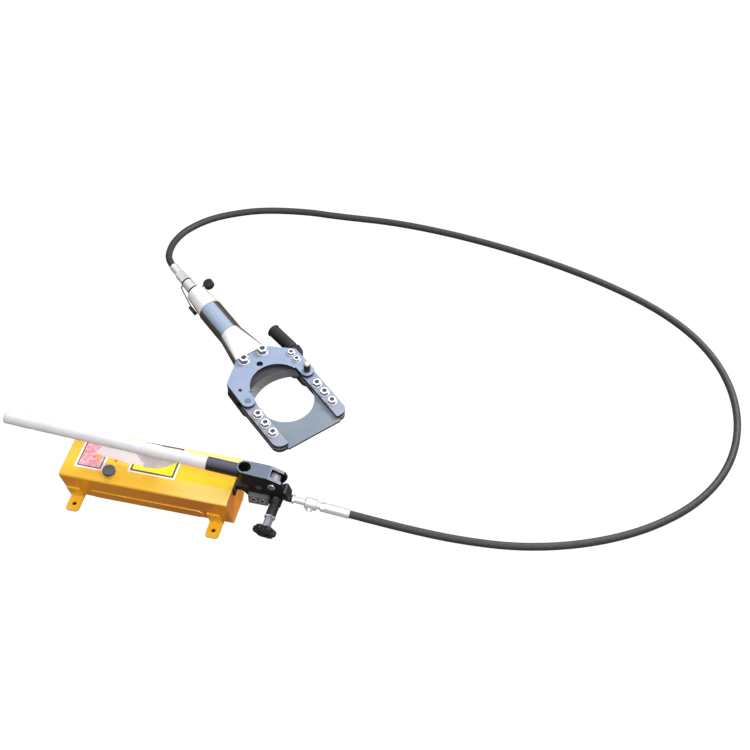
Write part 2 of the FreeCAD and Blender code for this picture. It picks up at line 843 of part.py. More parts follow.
def ferrule(start, direction, length):
    """A crimped sleeve with shallow pressed rings, its hose end rounded."""
    body = rod(ferrule_radius, start, direction, length)
    body = body.makeFillet(1.2, [body.Edges[0], body.Edges[2]])
    grooves = []
    for share in (0.62, 0.74, 0.86):
        spot = start + direction * (length * share)
        grooves.append(ring(ferrule_radius + 1, ferrule_radius - 0.5, spot, direction, length * 0.05))
    bore = rod(hose_bore_radius, start, direction, length)
    return cut(body, *grooves, bore)


def hose_ferrules():
    pump_end = ferrule(outlet_point(hose_nut_end), outlet_direction(), ferrule_end - hose_nut_end)
    head_end = ferrule(V(head_nut_rear, 0, 0), -X, head_nut_rear - head_hose_start)
    return Part.makeCompound([pump_end, on_head(head_end)])


# ------------------------------------------------------------------ hose

def head_point(u, v, w):
    """A point of the cutting head, from its own frame to the pump's."""
    return head_placement().multVec(V(u, v, w))


def head_direction(u, v, w):
    return head_placement().Rotation.multVec(V(u, v, w))


def on_head(shape):
    """Carry a piece from the head's own frame to where the head lies."""
    shape.Placement = head_placement().multiply(shape.Placement)
    return shape


def hose_route():
    """Corners of the hose's path, from the pump's ferrule to the head's, laid by hand on the floor."""
    floor = hose_radius + 0.25
    pump_end = outlet_point(ferrule_end)
    head_end = head_point(head_hose_start, 0, 0)
    return [
        pump_end,
        pump_end + outlet_direction() * 92,
        V(612, 5, 37),
        V(735, 22, 28),
        V(858, 70, 14),
        V(968, 136, floor),
        V(1058, 222, floor),
        V(1112, 328, floor),
        V(1124, 446, floor),
        V(1096, 562, floor),
        V(1030, 664, floor),
        V(930, 742, floor),
        V(800, 800, floor),
        V(648, 846, floor),
        V(474, 879, floor),
        V(300, 893, floor),
        V(140, 890, floor),
        V(34, 882, floor),
        V(-61, 861, floor),
        V(-147, 811, floor + 1),
        V(-201, 747, floor + 6),
        V(-221, 684, 34),
        head_end + head_direction(-1, 0, 0) * 60,
        head_end,
    ]


def hose_path(corners):
    """Straight runs joined by tangent arcs, each as large as its two runs allow."""
    edges = []
    radii = []
    last = corners[0]
    for before, here, after in zip(corners, corners[1:], corners[2:]):
        back = before - here
        ahead = after - here
        shorter = min(back.Length, ahead.Length)
        back.normalize()
        ahead.normalize()
        half = back.getAngle(ahead) / 2
        reach = 0.45 * shorter
        radius = reach * math.tan(half)
        radii.append(radius)
        middle = back + ahead
        middle.normalize()
        start = here + back * reach
        end = here + ahead * reach
        crown = here + middle * (radius / math.sin(half) - radius)
        edges.append(Part.LineSegment(last, start).toShape())
        edges.append(Part.Arc(start, crown, end).toShape())
        last = end
    edges.append(Part.LineSegment(last, corners[-1]).toShape())
    return Part.Wire(edges), radii


def hose():
    corners = hose_route()
    path, radii = hose_path(corners)
    direction = corners[1] - corners[0]
    circle = Part.Wire(Part.makeCircle(hose_radius, corners[0], direction))
    tube = path.makePipeShell([circle], True, True)
    section = math.pi * hose_radius ** 2
    print("hose length %.0f, smallest radius %.0f, volume ratio %.4f"
          % (path.Length, min(radii), tube.Volume / (section * path.Length)))
    print("hose radii", [round(radius) for radius in radii])
    print("hose runs", [round(a.distanceToPoint(b)) for a, b in zip(corners, corners[1:])])
    return tube


# ------------------------------------------------------------------ cutting head: frame

def plate_inner():
    return plate_gap / 2


def plate_outer():
    return plate_gap / 2 + plate_thickness


def head_placement():
    """The head lies on its lower nuts, blade end down."""
    pitch = FreeCAD.Rotation(Y, head_pitch)
    yaw = FreeCAD.Rotation(Z, head_yaw)
    lean = math.radians(head_pitch)
    height = (plate_outer() + rear_nut_height) * math.cos(lean) + rear_nut_flats * 0.58 * math.sin(lean)
    return FreeCAD.Placement(V(head_x, head_y, height), yaw.multiply(pitch))


def frame_plate(side):
    """One side plate of the frame: shoulders, two arms and the round throat between them."""
    arm_out = bolt_line + arm_radius
    arm_in = bolt_line - arm_radius
    tip = pin_u + arm_radius
    low, high = (plate_inner(), plate_outer()) if side > 0 else (-plate_outer(), -plate_inner())
    plate = slab([
        (plate_rear, -plate_rear_half, 3), (shoulder_u, -shoulder_half, 5), (pin_u, -arm_out, 0),
        (tip, -arm_out, arm_radius - 0.1), (tip, -arm_in, arm_radius - 0.1), (pin_u - 20, -arm_in, 0),
        (pin_u - 20, arm_in, 0), (tip, arm_in, arm_radius - 0.1), (tip, arm_out, arm_radius - 0.1),
        (pin_u, arm_out, 0), (shoulder_u, shoulder_half, 5), (plate_rear, plate_rear_half, 3),
    ], low, high)
    throat = rod(arm_in, V(pin_u, 0, low), Z, plate_thickness)
    holes = [rod(rear_bolt_radius + fixing_gap, V(0, v, low), Z, plate_thickness)
             for v in (-rear_bolt_v, rear_bolt_v)]
    holes += [rod(grip_bolt_radius + fixing_gap, V(u, grip_bolt_v, low), Z, plate_thickness) for u in grip_bolt_u]
    holes.append(rod(dowel_radius, V(dowel_u, dowel_v, low), Z, plate_thickness))
    holes.append(rod(hinge_pin_radius, V(pin_u, -bolt_line, low), Z, plate_thickness))
    holes.append(rod(latch_pin_radius + running_clearance, V(pin_u, bolt_line, low), Z, plate_thickness))
    if side > 0:
        holes.append(rod(access_hole_radius, V(access_hole_u, 0, low), Z, plate_thickness))
    return cut(plate, throat, *holes)


def rear_bolts():
    """Two studs that hold the cylinder between the plates, with a lock nut on each end."""
    reach = plate_outer() + rear_nut_height
    pieces = []
    for v in (-rear_bolt_v, rear_bolt_v):
        pieces.append(rod(rear_bolt_radius, V(0, v, -reach + 0.3), Z, 2 * reach - 0.6))
        pieces.append(nut(rear_nut_flats, rear_bolt_radius, V(0, v, plate_outer()), Z, rear_nut_height, 10))
        pieces.append(nut(rear_nut_flats, rear_bolt_radius, V(0, v, -plate_outer()), -Z, rear_nut_height, 10))
    return Part.makeCompound(pieces)


def blade_guide():
    """The spacer that guides the blade on the hinge side, riveted through both plates."""
    inner = plate_inner()
    strip = slab([
        (guide_rear, -shoulder_half + 1, 0), (guide_front - 2, -bolt_line - arm_radius + 2, 0),
        (guide_front, -guide_half, 0), (guide_rear + 14, -guide_half, 0), (guide_rear, -guide_half - 12, 0),
    ], -inner, inner)
    reach = plate_outer()
    rivet = rod(dowel_radius, V(dowel_u, dowel_v, -reach), Z, 2 * reach)
    return fuse(strip, rivet)


def grip_line():
    line = grip_far - grip_near
    return line.normalize()


def grip_bracket():
    """The latch-side guide, whose ear carries the round stub of the front grip."""
    inner = plate_inner()
    strip = slab([
        (guide_rear, shoulder_half - 1, 0), (guide_front - 2, bolt_line + arm_radius - 2, 0),
        (guide_front, guide_half, 0), (guide_rear + 14, guide_half, 0), (guide_rear, guide_half + 12, 0),
    ], -inner, inner)
    ear = slab([
        (ear_rear + 1, 81.5, 3), (ear_front + 12, 84.0, 3), (ear_front, ear_outer - 3, 6), (ear_rear, ear_outer, 5),
    ], -inner + 0.3, inner - 0.3)
    plates = plate_outer()
    room = slab([
        (plate_rear, plate_rear_half, 3), (shoulder_u, shoulder_half, 5), (pin_u, bolt_line + arm_radius, 0),
        (pin_u, 0, 0), (plate_rear, 0, 0)], -plates, plates)
    ear = ear.cut(room.cut(box(-20, 200, 0, 200, -inner, inner)))
    boss = rod(grip_socket_radius, grip_near - grip_line() * 6, grip_line(), 6)
    boss = boss.common(box(0, 60, 60, 120, -inner, inner))
    stub = rod(grip_core_radius, grip_near, grip_line(), (grip_far - grip_near).Length - 4)
    holes = [rod(grip_bolt_radius + fixing_gap, V(u, grip_bolt_v, -inner), Z, 2 * inner) for u in grip_bolt_u]
    return fuse(strip, ear, boss, stub).cut(holes)


def grip_rubber():
    """A ribbed rubber sleeve, closed and flanged at its free end."""
    line = grip_line()
    length = (grip_far - grip_near).Length
    body = rod(grip_radius, grip_near + line * 0.3, line, length - 0.3)
    flange = rod(grip_flange_radius, grip_near + line * (length - grip_flange_length), line, grip_flange_length)
    flange = flange.makeFillet(1.6, [flange.Edges[0], flange.Edges[2]])
    core = rod(grip_core_radius + 0.05, grip_near, line, length - 3.5)
    return fuse(body, flange).cut(core)


def grip_bolts():
    """Two hexagon bolts through the frame plates and the grip bracket, with their nuts."""
    pieces = []
    reach = plate_outer()
    for u in grip_bolt_u:
        shank = rod(grip_bolt_radius, V(u, grip_bolt_v, -reach), Z, 2 * reach + grip_nut_height - 0.8)
        head = hexagon(grip_nut_flats, V(u, grip_bolt_v, -reach), -Z, grip_nut_height - 1, 20)
        pieces.append(fuse(shank, head))
        pieces.append(nut(grip_nut_flats, grip_bolt_radius, V(u, grip_bolt_v, reach), Z, grip_nut_height, 20))
    return Part.makeCompound(pieces)


# ------------------------------------------------------------------ cutting head: gate

def bar_top():
    return plate_inner() - gate_clearance


def blade_seat():
    return fixed_blade_thickness / 2


def gate_bar(side, level):
    """One of the four bars of the gate; side is the sign of v and level the sign of w."""
    low, high = (blade_seat(), bar_top()) if level > 0 else (-bar_top(), -blade_seat())
    start = pin_u - arm_radius
    outer = bolt_line + arm_radius
    inner = bar_inner - 1.5
    corners = [
        (start, inner, arm_radius - 0.1), (pin_u + 8, inner, 0), (pin_u + 16, bar_inner, 0), (bar_end, bar_inner, 1),
        (bar_end, outer, bar_corner), (start, outer, arm_radius - 0.1),
    ]
    bar = slab([(u, side * v, radius) for u, v, radius in corners], low, high)
    pin_radius = hinge_pin_radius if side < 0 else latch_pin_radius
    holes = [rod(pin_radius + running_clearance, V(pin_u, side * bolt_line, low), Z, high - low)]
    holes += [rod(gate_bolt_radius + fixing_gap, V(u, side * bolt_line, low), Z, high - low) for u in gate_bolt_u]
    return bar.cut(holes)


def fixed_blade():
    """The fixed blade: a plate with a round cutting edge, ground thin from below."""
    half = blade_seat()
    wing = bolt_line + arm_radius - 3
    plate = slab([
        (fixed_blade_start, -wing, 2), (fixed_blade_start, -bar_inner - 4, 2), (fixed_edge_centre, -bar_inner, 0),
        (fixed_edge_centre, bar_inner, 0), (fixed_blade_start, bar_inner + 4, 2), (fixed_blade_start, wing, 2),
        (bar_end - 10, wing, 12), (bar_end - 3, fixed_blade_half, 0), (fixed_blade_end, fixed_blade_half, 1),
        (fixed_blade_end, -fixed_blade_half, 1), (bar_end - 3, -fixed_blade_half, 0), (bar_end - 10, -wing, 12),
    ], -half, half)
    centre = V(fixed_edge_centre, 0, -half)
    throat = rod(fixed_edge_radius, centre, Z, 2 * half)
    bevel = Part.makeCone(fixed_edge_radius + 7, fixed_edge_radius, 2 * half - blade_edge_land, centre, Z)
    keep_bevel = box(fixed_edge_centre, 300, -bar_inner, bar_inner, -half, half)
    holes = [rod(gate_bolt_radius + fixing_gap, V(u, side * bolt_line, -half), Z, 2 * half)
             for u in gate_bolt_u for side in (-1, 1)]
    return cut(plate, throat, bevel.common(keep_bevel), *holes)


def gate_bolts():
    """Six bolts that clamp the bars on the fixed blade: heads below, nuts on top."""
    pieces = []
    top = bar_top()
    for side in (-1, 1):
        for u in gate_bolt_u:
            spot = V(u, side * bolt_line, -top)
            shank = rod(gate_bolt_radius, spot, Z, 2 * top + gate_nut_height - 1.0)
            head = hexagon(gate_nut_flats, spot, -Z, gate_nut_height - 1.5, 15)
            pieces.append(fuse(shank, head))
            nut_spot = V(u, side * bolt_line, top)
            pieces.append(nut(gate_nut_flats, gate_bolt_radius, nut_spot, Z, gate_nut_height, 15))
    return Part.makeCompound(pieces)


def hinge_pin():
    reach = plate_outer() + hinge_pin_rise
    pin = rod(hinge_pin_radius, V(pin_u, -bolt_line, -reach), Z, 2 * reach)
    return pin.makeChamfer(0.8, [pin.Edges[0], pin.Edges[2]])


def latch_pin():
    """The pull pin: a plain shank with a domed cap above its black grip."""
    low = -plate_outer()
    top = plate_outer() + latch_grip_height
    centre = V(pin_u, bolt_line, 0)
    shank = rod(latch_pin_radius, centre + Z * low, Z, top - low)
    cap = rod(latch_grip_radius - 0.4, centre + Z * top, Z, latch_dome_height)
    cap = cap.makeFillet(latch_dome_height * 0.75, [cap.Edges[0]])
    return fuse(shank, cap)


def latch_grip():
    base = V(pin_u, bolt_line, plate_outer() + fixing_gap)
    return ring(latch_grip_radius, latch_pin_radius + 0.02, base, Z, latch_grip_height - fixing_gap)


# ------------------------------------------------------------------ cutting head: ram

def moving_blade():
    """The moving blade: a crescent edge bevelled on top, on a tang that enters the ram."""
    low = blade_seat() + shear_gap
    high = plate_inner() - blade_plate_clearance
    centre = V(blade_edge_u + blade_edge_radius, 0, low)
    front = blade_edge_u + blade_edge_radius - math.sqrt(blade_edge_radius ** 2 - blade_half ** 2)
    plate = slab([
        (blade_tang_end, -blade_tang_half, 4), (26.0, -blade_tang_half - 3, 6), (44.0, -34.0, 12),
        (66.0, -blade_half, 6), (front, -blade_half, 0), (front, blade_half, 0), (66.0, blade_half, 6),
        (44.0, 34.0, 12), (26.0, blade_tang_half + 3, 6), (blade_tang_end, blade_tang_half, 4),
    ], low, high)
    throat = rod(blade_edge_radius, centre, Z, high - low)
    bevel = Part.makeCone(blade_edge_radius, blade_edge_radius + blade_bevel_width, high - low - blade_edge_land,
                          centre + Z * blade_edge_land, Z)
    hole = rod(blade_pin_radius + fixing_gap, V(access_hole_u, 0, low), Z, high - low)
    return cut(plate, throat, bevel, hole)


def ram_rod():
    """The ram: a bar whose front end is slotted for the blade's tang."""
    bar = rod(rod_radius, V(rod_rear, 0, 0), X, rod_front - rod_rear)
    low = blade_seat() + shear_gap
    slot = box(blade_tang_end - 1, rod_front + 1, -rod_radius, rod_radius, low - 0.05, plate_inner())
    hole = rod(blade_pin_radius, V(access_hole_u, 0, -rod_radius), Z, 2 * rod_radius)
    thread = rod(rod_radius * 0.5, V(rod_rear, 0, 0), X, piston_length)
    return bar.cut([slot, hole, thread])


def blade_pin():
    start = V(access_hole_u, 0, -rod_radius * 0.8)
    return rod(blade_pin_radius, start, Z, plate_inner() - blade_plate_clearance + rod_radius * 0.8 - 0.3)


def piston():
    start = V(rod_rear - piston_length + 0.0, 0, 0)
    disc = rod(piston_radius - piston_clearance, start, X, piston_length)
    spigot = rod(rod_radius * 0.5, V(rod_rear, 0, 0), X, piston_length)
    groove = ring(piston_radius + 1, piston_radius - seal_thickness, V(seal_start(), 0, 0), X, seal_thickness)
    return fuse(disc, spigot).cut(groove)


def seal_start():
    return rod_rear - piston_length * 0.6


def piston_seal():
    outer = piston_radius - piston_clearance / 2
    return ring(outer, piston_radius - seal_thickness, V(seal_start(), 0, 0), X, seal_thickness)


def cylinder_rear():
    """The rear of the cylinder: a cone from the joint ring down to the hose port."""
    length = barrel_rear - joint_groove - rear_end
    cone = Part.makeCone(rear_small_radius, rear_large_radius, length, V(rear_end, 0, 0), X)
    cone = cone.makeChamfer(rear_chamfer, [cone.Edges[2]])
    core = rod(rear_large_radius - 2, V(barrel_rear - joint_groove - 0.01, 0, 0), X, joint_groove + 0.01)
    bore = rod(piston_radius, V(bore_rear, 0, 0), X, barrel_rear - bore_rear)
    port = rod(hose_bore_radius, V(rear_end, 0, 0), X, bore_rear - rear_end)
    return fuse(cone, core).cut([bore, port])


def cylinder_barrel():
    length = barrel_front - barrel_rear
    tube = ring(barrel_radius, piston_radius, V(barrel_rear, 0, 0), X, length)
    outer_edges = [edge for edge in tube.Edges
                   if hasattr(edge.Curve, "Radius") and edge.Curve.Radius > barrel_radius - 0.01]
    return tube.makeChamfer(0.6, [edge for edge in outer_edges if edge.Closed and len(edge.Vertexes) == 1][:2])


def flare_section(u, half_width, half_height, corner):
    """A rounded rectangle across the ram at a station."""
    wire = rounded_outline([
        (-half_width, -half_height, corner), (half_width, -half_height, corner),
        (half_width, half_height, corner), (-half_width, half_height, corner),
    ])
    wire.rotate(V(0, 0, 0), X, 90)
    wire.rotate(V(0, 0, 0), Z, 90)
    wire.translate(V(u, 0, 0))
    return wire


def front_block():
    """The front of the cylinder: it flares from the barrel to the lugs held by the rear bolts."""
    rear = flare_section(barrel_front, barrel_radius - 0.5, barrel_radius - 0.5, barrel_radius - 1.5)
    front = flare_section(block_front, plate_rear_half, front_block_half_height, 6.0)
    flare = Part.makeLoft([rear, front], True, True)
    inner = plate_inner()
    lugs = [slab([
        (block_front - 1, side * lug_inner, 0), (lug_front, side * lug_inner, 3),
        (lug_front, side * (plate_rear_half - 2), 6), (block_front - 1, side * (plate_rear_half - 2), 0),
    ], -inner, inner) for side in (-1, 1)]
    bore = rod(piston_radius, V(barrel_front, 0, 0), X, bore_front - barrel_front + gland_length)
    rod_hole = rod(rod_radius + 0.4, V(barrel_front, 0, 0), X, 80)
    bolt_holes = [rod(rear_bolt_radius + fixing_gap, V(0, v, -inner), Z, 2 * inner)
                  for v in (-rear_bolt_v, rear_bolt_v)]
    return fuse(flare, *lugs).cut([bore, rod_hole] + bolt_holes)


def rod_gland():
    start = V(bore_front, 0, 0)
    return ring(piston_radius, rod_radius + running_clearance, start, X, gland_length)


def return_spring():
    """The coil that pushes the ram home, round the rod between the piston and the gland."""
    length = bore_front - rod_rear
    mean = (rod_radius + piston_radius) / 2
    pitch = (length - 2.4 * spring_wire_radius) / spring_turns
    helix = Part.makeHelix(pitch, length - 2.4 * spring_wire_radius, mean)
    circle = Part.Wire(Part.makeCircle(spring_wire_radius, V(mean, 0, 0), V(0, 1, 0)))
    coil = Part.Wire(helix.Edges).makePipeShell([circle], True, True)
    coil.rotate(V(0, 0, 0), Y, 90)
    coil.translate(V(rod_rear + 1.2 * spring_wire_radius, 0, 0))
    return coil


# ------------------------------------------------------------------ cutting head: fittings

def head_coupler():
    """The male half of the head's coupler, fixed in the rear of the cylinder."""
    core = rod(coupler_core_radius + 1, V(head_nut_rear + 24, 0, 0), X, rear_end - head_nut_rear - 24)
    shoulder = rod(collar_radius - 1.5, V(collar_front + strap_width + 0.3, 0, 0), X,
                   rear_end - collar_front - strap_width - 0.3)
    bore = rod(hose_bore_radius, V(head_nut_rear + 24, 0, 0), X, rear_end - head_nut_rear - 24)
    return fuse(core, shoulder).cut(bore)


def head_collar():
    length = collar_front - collar_rear
    body = rod(collar_radius, V(collar_rear, 0, 0), X, length)
    body = body.makeChamfer(1.2, [body.Edges[0], body.Edges[2]])
    core = coupler_core_radius + 1 + running_clearance
    return body.cut(rod(core, V(collar_rear, 0, 0), X, length))


def strapped_cap(strap_u, strap_radius, cap_centre, cap_axis, cap_length, inside):
    """A rubber dust cap on its strap: a ring round the coupler, a tongue and the cup."""
    loop = ring(strap_radius + strap_thickness, inside, V(strap_u, 0, 0), X, strap_width)
    axis = V(cap_axis).normalize()
    cup = rod(cap_radius, cap_centre - axis * cap_length / 2, axis, cap_length)
    cup = cup.makeChamfer(1.0, [cup.Edges[0], cup.Edges[2]])
    hollow = rod(cap_radius - 2.5, cap_centre - axis * cap_length / 2, axis, cap_length - 2.5)
    root = V(strap_u + strap_width / 2, 0, 0)
    outward = V(0, cap_centre.y, cap_centre.z).normalize()
    thick = strap_width / 2 - 0.1
    bend = root + outward * (strap_radius + strap_thickness + 4)
    lug = rod(thick, root + outward * (strap_radius + strap_thickness - 1), outward, 5)
    knuckle = Part.makeSphere(thick, bend)
    tongue_line = cap_centre - bend
    tongue = rod(thick, bend, tongue_line, tongue_line.Length - cap_radius * 0.5)
    return fuse(loop, lug, knuckle, tongue, cup).cut(hollow)


def dust_caps():
    near = strapped_cap(collar_front, collar_radius, V(-241, 35, 6), V(-0.08, -0.36, 0.93), near_cap_length,
                        collar_radius - 1.4)
    far = strapped_cap(collar_rear - strap_width, collar_radius - 2, V(-207, -27.5, -11.5), V(0, -0.92, -0.38),
                       far_cap_length, coupler_core_radius + 1.05)
    return Part.makeCompound([near, far])


# ------------------------------------------------------------------ assembly

def pump_pieces():
    return {
        "tank_shell": tank_shell(),
        "tank_end_rear": tank_end(-1),
        "tank_end_front": tank_end(1),
        "foot_brackets": at_each_foot(foot_bracket()),
        "foot_rivets": at_each_foot(foot_rivet()),
        "filler_boss": filler_boss(),
        "filler_cap": filler_cap(),
        "pump_body": pump_body(),
        "valve_block": valve_block(),
        "block_screws": block_screws(),
        "plunger_gland": plunger_gland(),
        "plunger": plunger(),
        "plunger_pin": plunger_pin(),
        "link": link(),
        "link_foot_pin": link_foot_pin(),
        "fulcrum_pin": fulcrum_pin(),
        "lever_head": lever_head(),
        "handle_sleeve": handle_sleeve(),
        "handle_tube": handle_tube(),
        "handle_wrap": handle_wrap(),
        "handle_plug": handle_plug(),
        "suction_tube": suction_tube(),
        "release_housing": release_housing(),
        "release_nut": release_nut(),
        "release_spindle": release_spindle(),
        "release_knob": release_knob(),
        "outlet_adapter": outlet_adapter(),
        "coupler_core": coupler_core(),
        "coupler_collar": coupler_collar(),
        "hose_nuts": hose_nuts(),
        "hose_ferrules": hose_ferrules(),
        "hose": hose(),
    }


def head_pieces():
    return {
        "head_coupler": head_coupler(),
        "head_collar": head_collar(),
        "dust_caps": dust_caps(),
        "cylinder_rear": cylinder_rear(),
        "cylinder_barrel": cylinder_barrel(),
        "front_block": front_block(),
        "rod_gland": rod_gland(),
        "return_spring": return_spring(),
        "piston": piston(),
        "piston_seal": piston_seal(),
        "ram_rod": ram_rod(),
        "blade_pin": blade_pin(),
        "moving_blade": moving_blade(),
        "frame_plate_top": frame_plate(1),
        "frame_plate_bottom": frame_plate(-1),
        "rear_bolts": rear_bolts(),
        "blade_guide": blade_guide(),
        "grip_bracket": grip_bracket(),
        "grip_rubber": grip_rubber(),
        "grip_bolts": grip_bolts(),
        "gate_bars_upper": Part.makeCompound([gate_bar(-1, 1), gate_bar(1, 1)]),
        "gate_bars_lower": Part.makeCompound([gate_bar(-1, -1), gate_bar(1, -1)]),
        "fixed_blade": fixed_blade(),
        "gate_bolts": gate_bolts(),
    }


def pin_pieces():
    return {"hinge_pin": hinge_pin(), "latch_pin": latch_pin(), "latch_grip": latch_grip()}


def main():
    os.makedirs("parts", exist_ok=True)
    origin_shift = V(-foot_offset_x, 0, 0)
    for name, shape in pump_pieces().items():
        shape.translate(origin_shift)
        shape.exportStep("parts/%s.step" % name)
    for name, shape in {**head_pieces(), **pin_pieces()}.items():
        shape = on_head(shape)
        shape.translate(origin_shift)
        shape.exportStep("parts/%s.step" % name)


main()
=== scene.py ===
import bpy
import json
import math
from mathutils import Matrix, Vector, noise


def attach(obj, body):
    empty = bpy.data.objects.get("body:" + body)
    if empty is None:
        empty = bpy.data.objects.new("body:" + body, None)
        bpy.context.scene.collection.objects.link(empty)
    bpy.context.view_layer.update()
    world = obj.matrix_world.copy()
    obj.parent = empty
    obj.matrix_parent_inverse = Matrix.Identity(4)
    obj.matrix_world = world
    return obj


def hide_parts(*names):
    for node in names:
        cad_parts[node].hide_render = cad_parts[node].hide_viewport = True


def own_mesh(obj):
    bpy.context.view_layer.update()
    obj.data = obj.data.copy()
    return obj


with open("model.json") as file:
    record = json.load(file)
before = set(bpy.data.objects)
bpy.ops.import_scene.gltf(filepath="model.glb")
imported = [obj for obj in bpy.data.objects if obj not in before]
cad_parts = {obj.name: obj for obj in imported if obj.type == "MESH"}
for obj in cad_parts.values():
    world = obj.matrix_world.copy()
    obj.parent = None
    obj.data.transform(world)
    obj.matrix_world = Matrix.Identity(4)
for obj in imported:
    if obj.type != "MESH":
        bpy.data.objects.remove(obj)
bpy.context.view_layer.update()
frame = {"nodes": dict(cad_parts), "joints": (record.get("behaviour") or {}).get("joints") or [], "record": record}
nodes = frame["nodes"]
joints = {joint["name"]: joint for joint in frame["joints"]}
mm = 0.001
tankShift = 5.25  # from the tank's own middle to the origin, along the tank


# the cutting head's own frame: u along the ram, v across it, w out of the plates
hingeU, hingeV = 96, 73.5
headU = Vector(joints["ram_slide"]["axis"]).normalized()
headW = -Vector(joints["gate_swing"]["axis"]).normalized()
headV = headW.cross(headU)
headOrigin = Vector(joints["gate_swing"]["pos_m"]) - headU * hingeU * mm + headV * hingeV * mm


# the white sweep, the lamps and the camera

studio = {
    "floorSize": 14.0, "floorMiddle": (0.4, 0.4), "sweepDrop": 0.0004, "bounceDrop": 0.0002,
    "floorGlow": 1.05, "bounceColour": (0.20, 0.17, 0.145, 1), "skyTopFrom": 0.75,
    "skyTop": (1.0, 1.0, 1.0, 1), "skyHorizon": (0.16, 0.165, 0.18, 1), "skyStrength": 0.90,
    "keyPlace": (1.5, 1.9, 1.75), "keySize": 0.9, "keyPower": 62, "keyColour": (1.0, 0.985, 0.96),
    "fillPlace": (1.6, -1.2, 2.3), "fillSize": 1.4, "fillPower": 42, "fillColour": (1.0, 0.96, 0.90),
    "aim": (0.35, 0.35, 0.0),
}
cameraSet = {
    "place": (0.80065, -1.4845, 2.181), "lookAt": (0.35825, 0.4136, 0.0),
    "lens": 65.2, "sensor": 36.0,
}


def aimAt(thing, target):
    direction = Vector(target) - thing.location
    thing.rotation_euler = direction.to_track_quat("-Z", "Y").to_euler()


def makeStage(s):
    scene = bpy.context.scene
    scene.view_settings.view_transform = "Standard"
    scene.view_settings.look = "None"
    world = bpy.data.worlds.new("studioSky")
    scene.world = world
    world.use_nodes = True
    tree = world.node_tree
    back = tree.nodes["Background"]
    coords = tree.nodes.new("ShaderNodeTexCoord")
    split = tree.nodes.new("ShaderNodeSeparateXYZ")
    ramp = tree.nodes.new("ShaderNodeValToRGB")
    ramp.color_ramp.elements[0].color = s["skyHorizon"]
    ramp.color_ramp.elements[0].position = 0.0
    ramp.color_ramp.elements[1].color = s["skyTop"]
    ramp.color_ramp.elements[1].position = s["skyTopFrom"]
    tree.links.new(coords.outputs["Generated"], split.inputs[0])
    tree.links.new(split.outputs["Z"], ramp.inputs["Fac"])
    tree.links.new(ramp.outputs["Color"], back.inputs["Color"])
    back.inputs["Strength"].default_value = s["skyStrength"]
    # the sweep that the camera sees glows evenly; what the metal mirrors is the darker bounce card under it
    glow = bpy.data.materials.new("sweepGlow")
    glow.use_nodes = True
    shader = glow.node_tree.nodes["Principled BSDF"]
    setSocket(shader, "Base Color", (0, 0, 0, 1))
    setSocket(shader, "Specular IOR Level", 0)
    setSocket(shader, "Emission Color", (1, 1, 1, 1))
    setSocket(shader, "Emission Strength", s["floorGlow"])
    card = makeFinish("bounceCard", colour=s["bounceColour"], roughness=0.9, shine=0.1)
    for name, finish in (("sweep", glow), ("bounce", card)):
        bpy.ops.mesh.primitive_plane_add(size=s["floorSize"], location=(*s["floorMiddle"], -s[name + "Drop"]))
        plane = bpy.context.object
        plane.name = name
        plane.data.materials.append(finish)
        plane.visible_camera = name == "sweep"
        plane.visible_diffuse = name == "bounce"
        plane.visible_glossy = name == "bounce"
        plane.visible_transmission = name == "bounce"
        plane.visible_shadow = False
    for name in ("key", "fill"):
        light = bpy.data.lights.new(name + "Light", "AREA")
        light.size = s[name + "Size"]
        light.energy = s[name + "Power"]
        light.color = s[name + "Colour"]
        lamp = bpy.data.objects.new(name + "Light", light)
        scene.collection.objects.link(lamp)
        lamp.location = s[name + "Place"]
        aimAt(lamp, s["aim"])


def makeCamera(c):
    camera = bpy.data.cameras.new("camera")
    camera.lens = c["lens"]
    camera.sensor_width = c["sensor"]
    holder = bpy.data.objects.new("camera", camera)
    bpy.context.scene.collection.objects.link(holder)
    holder.location = c["place"]
    aimAt(holder, c["lookAt"])
    bpy.context.scene.camera = holder


# finishes

grainDepth = 0.0004  # metres
patchSpread = (0.3, 0.7)  # the part of the noise that the patches use


def addNode(tree, kind, **values):
    made = tree.nodes.new(kind)
    for key, value in values.items():
        setattr(made, key, value)
    return made


def setSocket(made, name, value):
    made.inputs[name].default_value = value


def noiseNode(tree, scale, detail, stretch=None, seed=0.0):
    # scale is in repeats per metre
    coords = addNode(tree, "ShaderNodeTexCoord")
    place = addNode(tree, "ShaderNodeMapping")
    if stretch:
        setSocket(place, "Scale", stretch)
    setSocket(place, "Location", (seed, seed * 1.7, seed * 0.3))
    tree.links.new(coords.outputs["Object"], place.inputs["Vector"])
    cloud = addNode(tree, "ShaderNodeTexNoise")
    setSocket(cloud, "Scale", scale)
    setSocket(cloud, "Detail", detail)
    tree.links.new(place.outputs["Vector"], cloud.inputs["Vector"])
    return cloud


def paintedLightByFacing(tree, axis, stops):
    # painted light: a colour by how far the surface faces along an axis, for painted highlights, painted
    # reflections and painted shade; 0 is square to it or beyond, 1 is straight along it
    ownSpace = addNode(tree, "ShaderNodeTexCoord")
    facing = addNode(tree, "ShaderNodeVectorMath", operation="DOT_PRODUCT")
    facing.inputs[1].default_value = axis
    ramp = addNode(tree, "ShaderNodeValToRGB")
    elements = ramp.color_ramp.elements
    while len(elements) < len(stops):
        elements.new(0.5)
    for element, (place, colour) in zip(elements, stops):
        element.position = place
        element.color = (*colour, 1)
    tree.links.new(ownSpace.outputs["Normal"], facing.inputs[0])
    tree.links.new(facing.outputs["Value"], ramp.inputs["Fac"])
    return ramp.outputs["Color"]


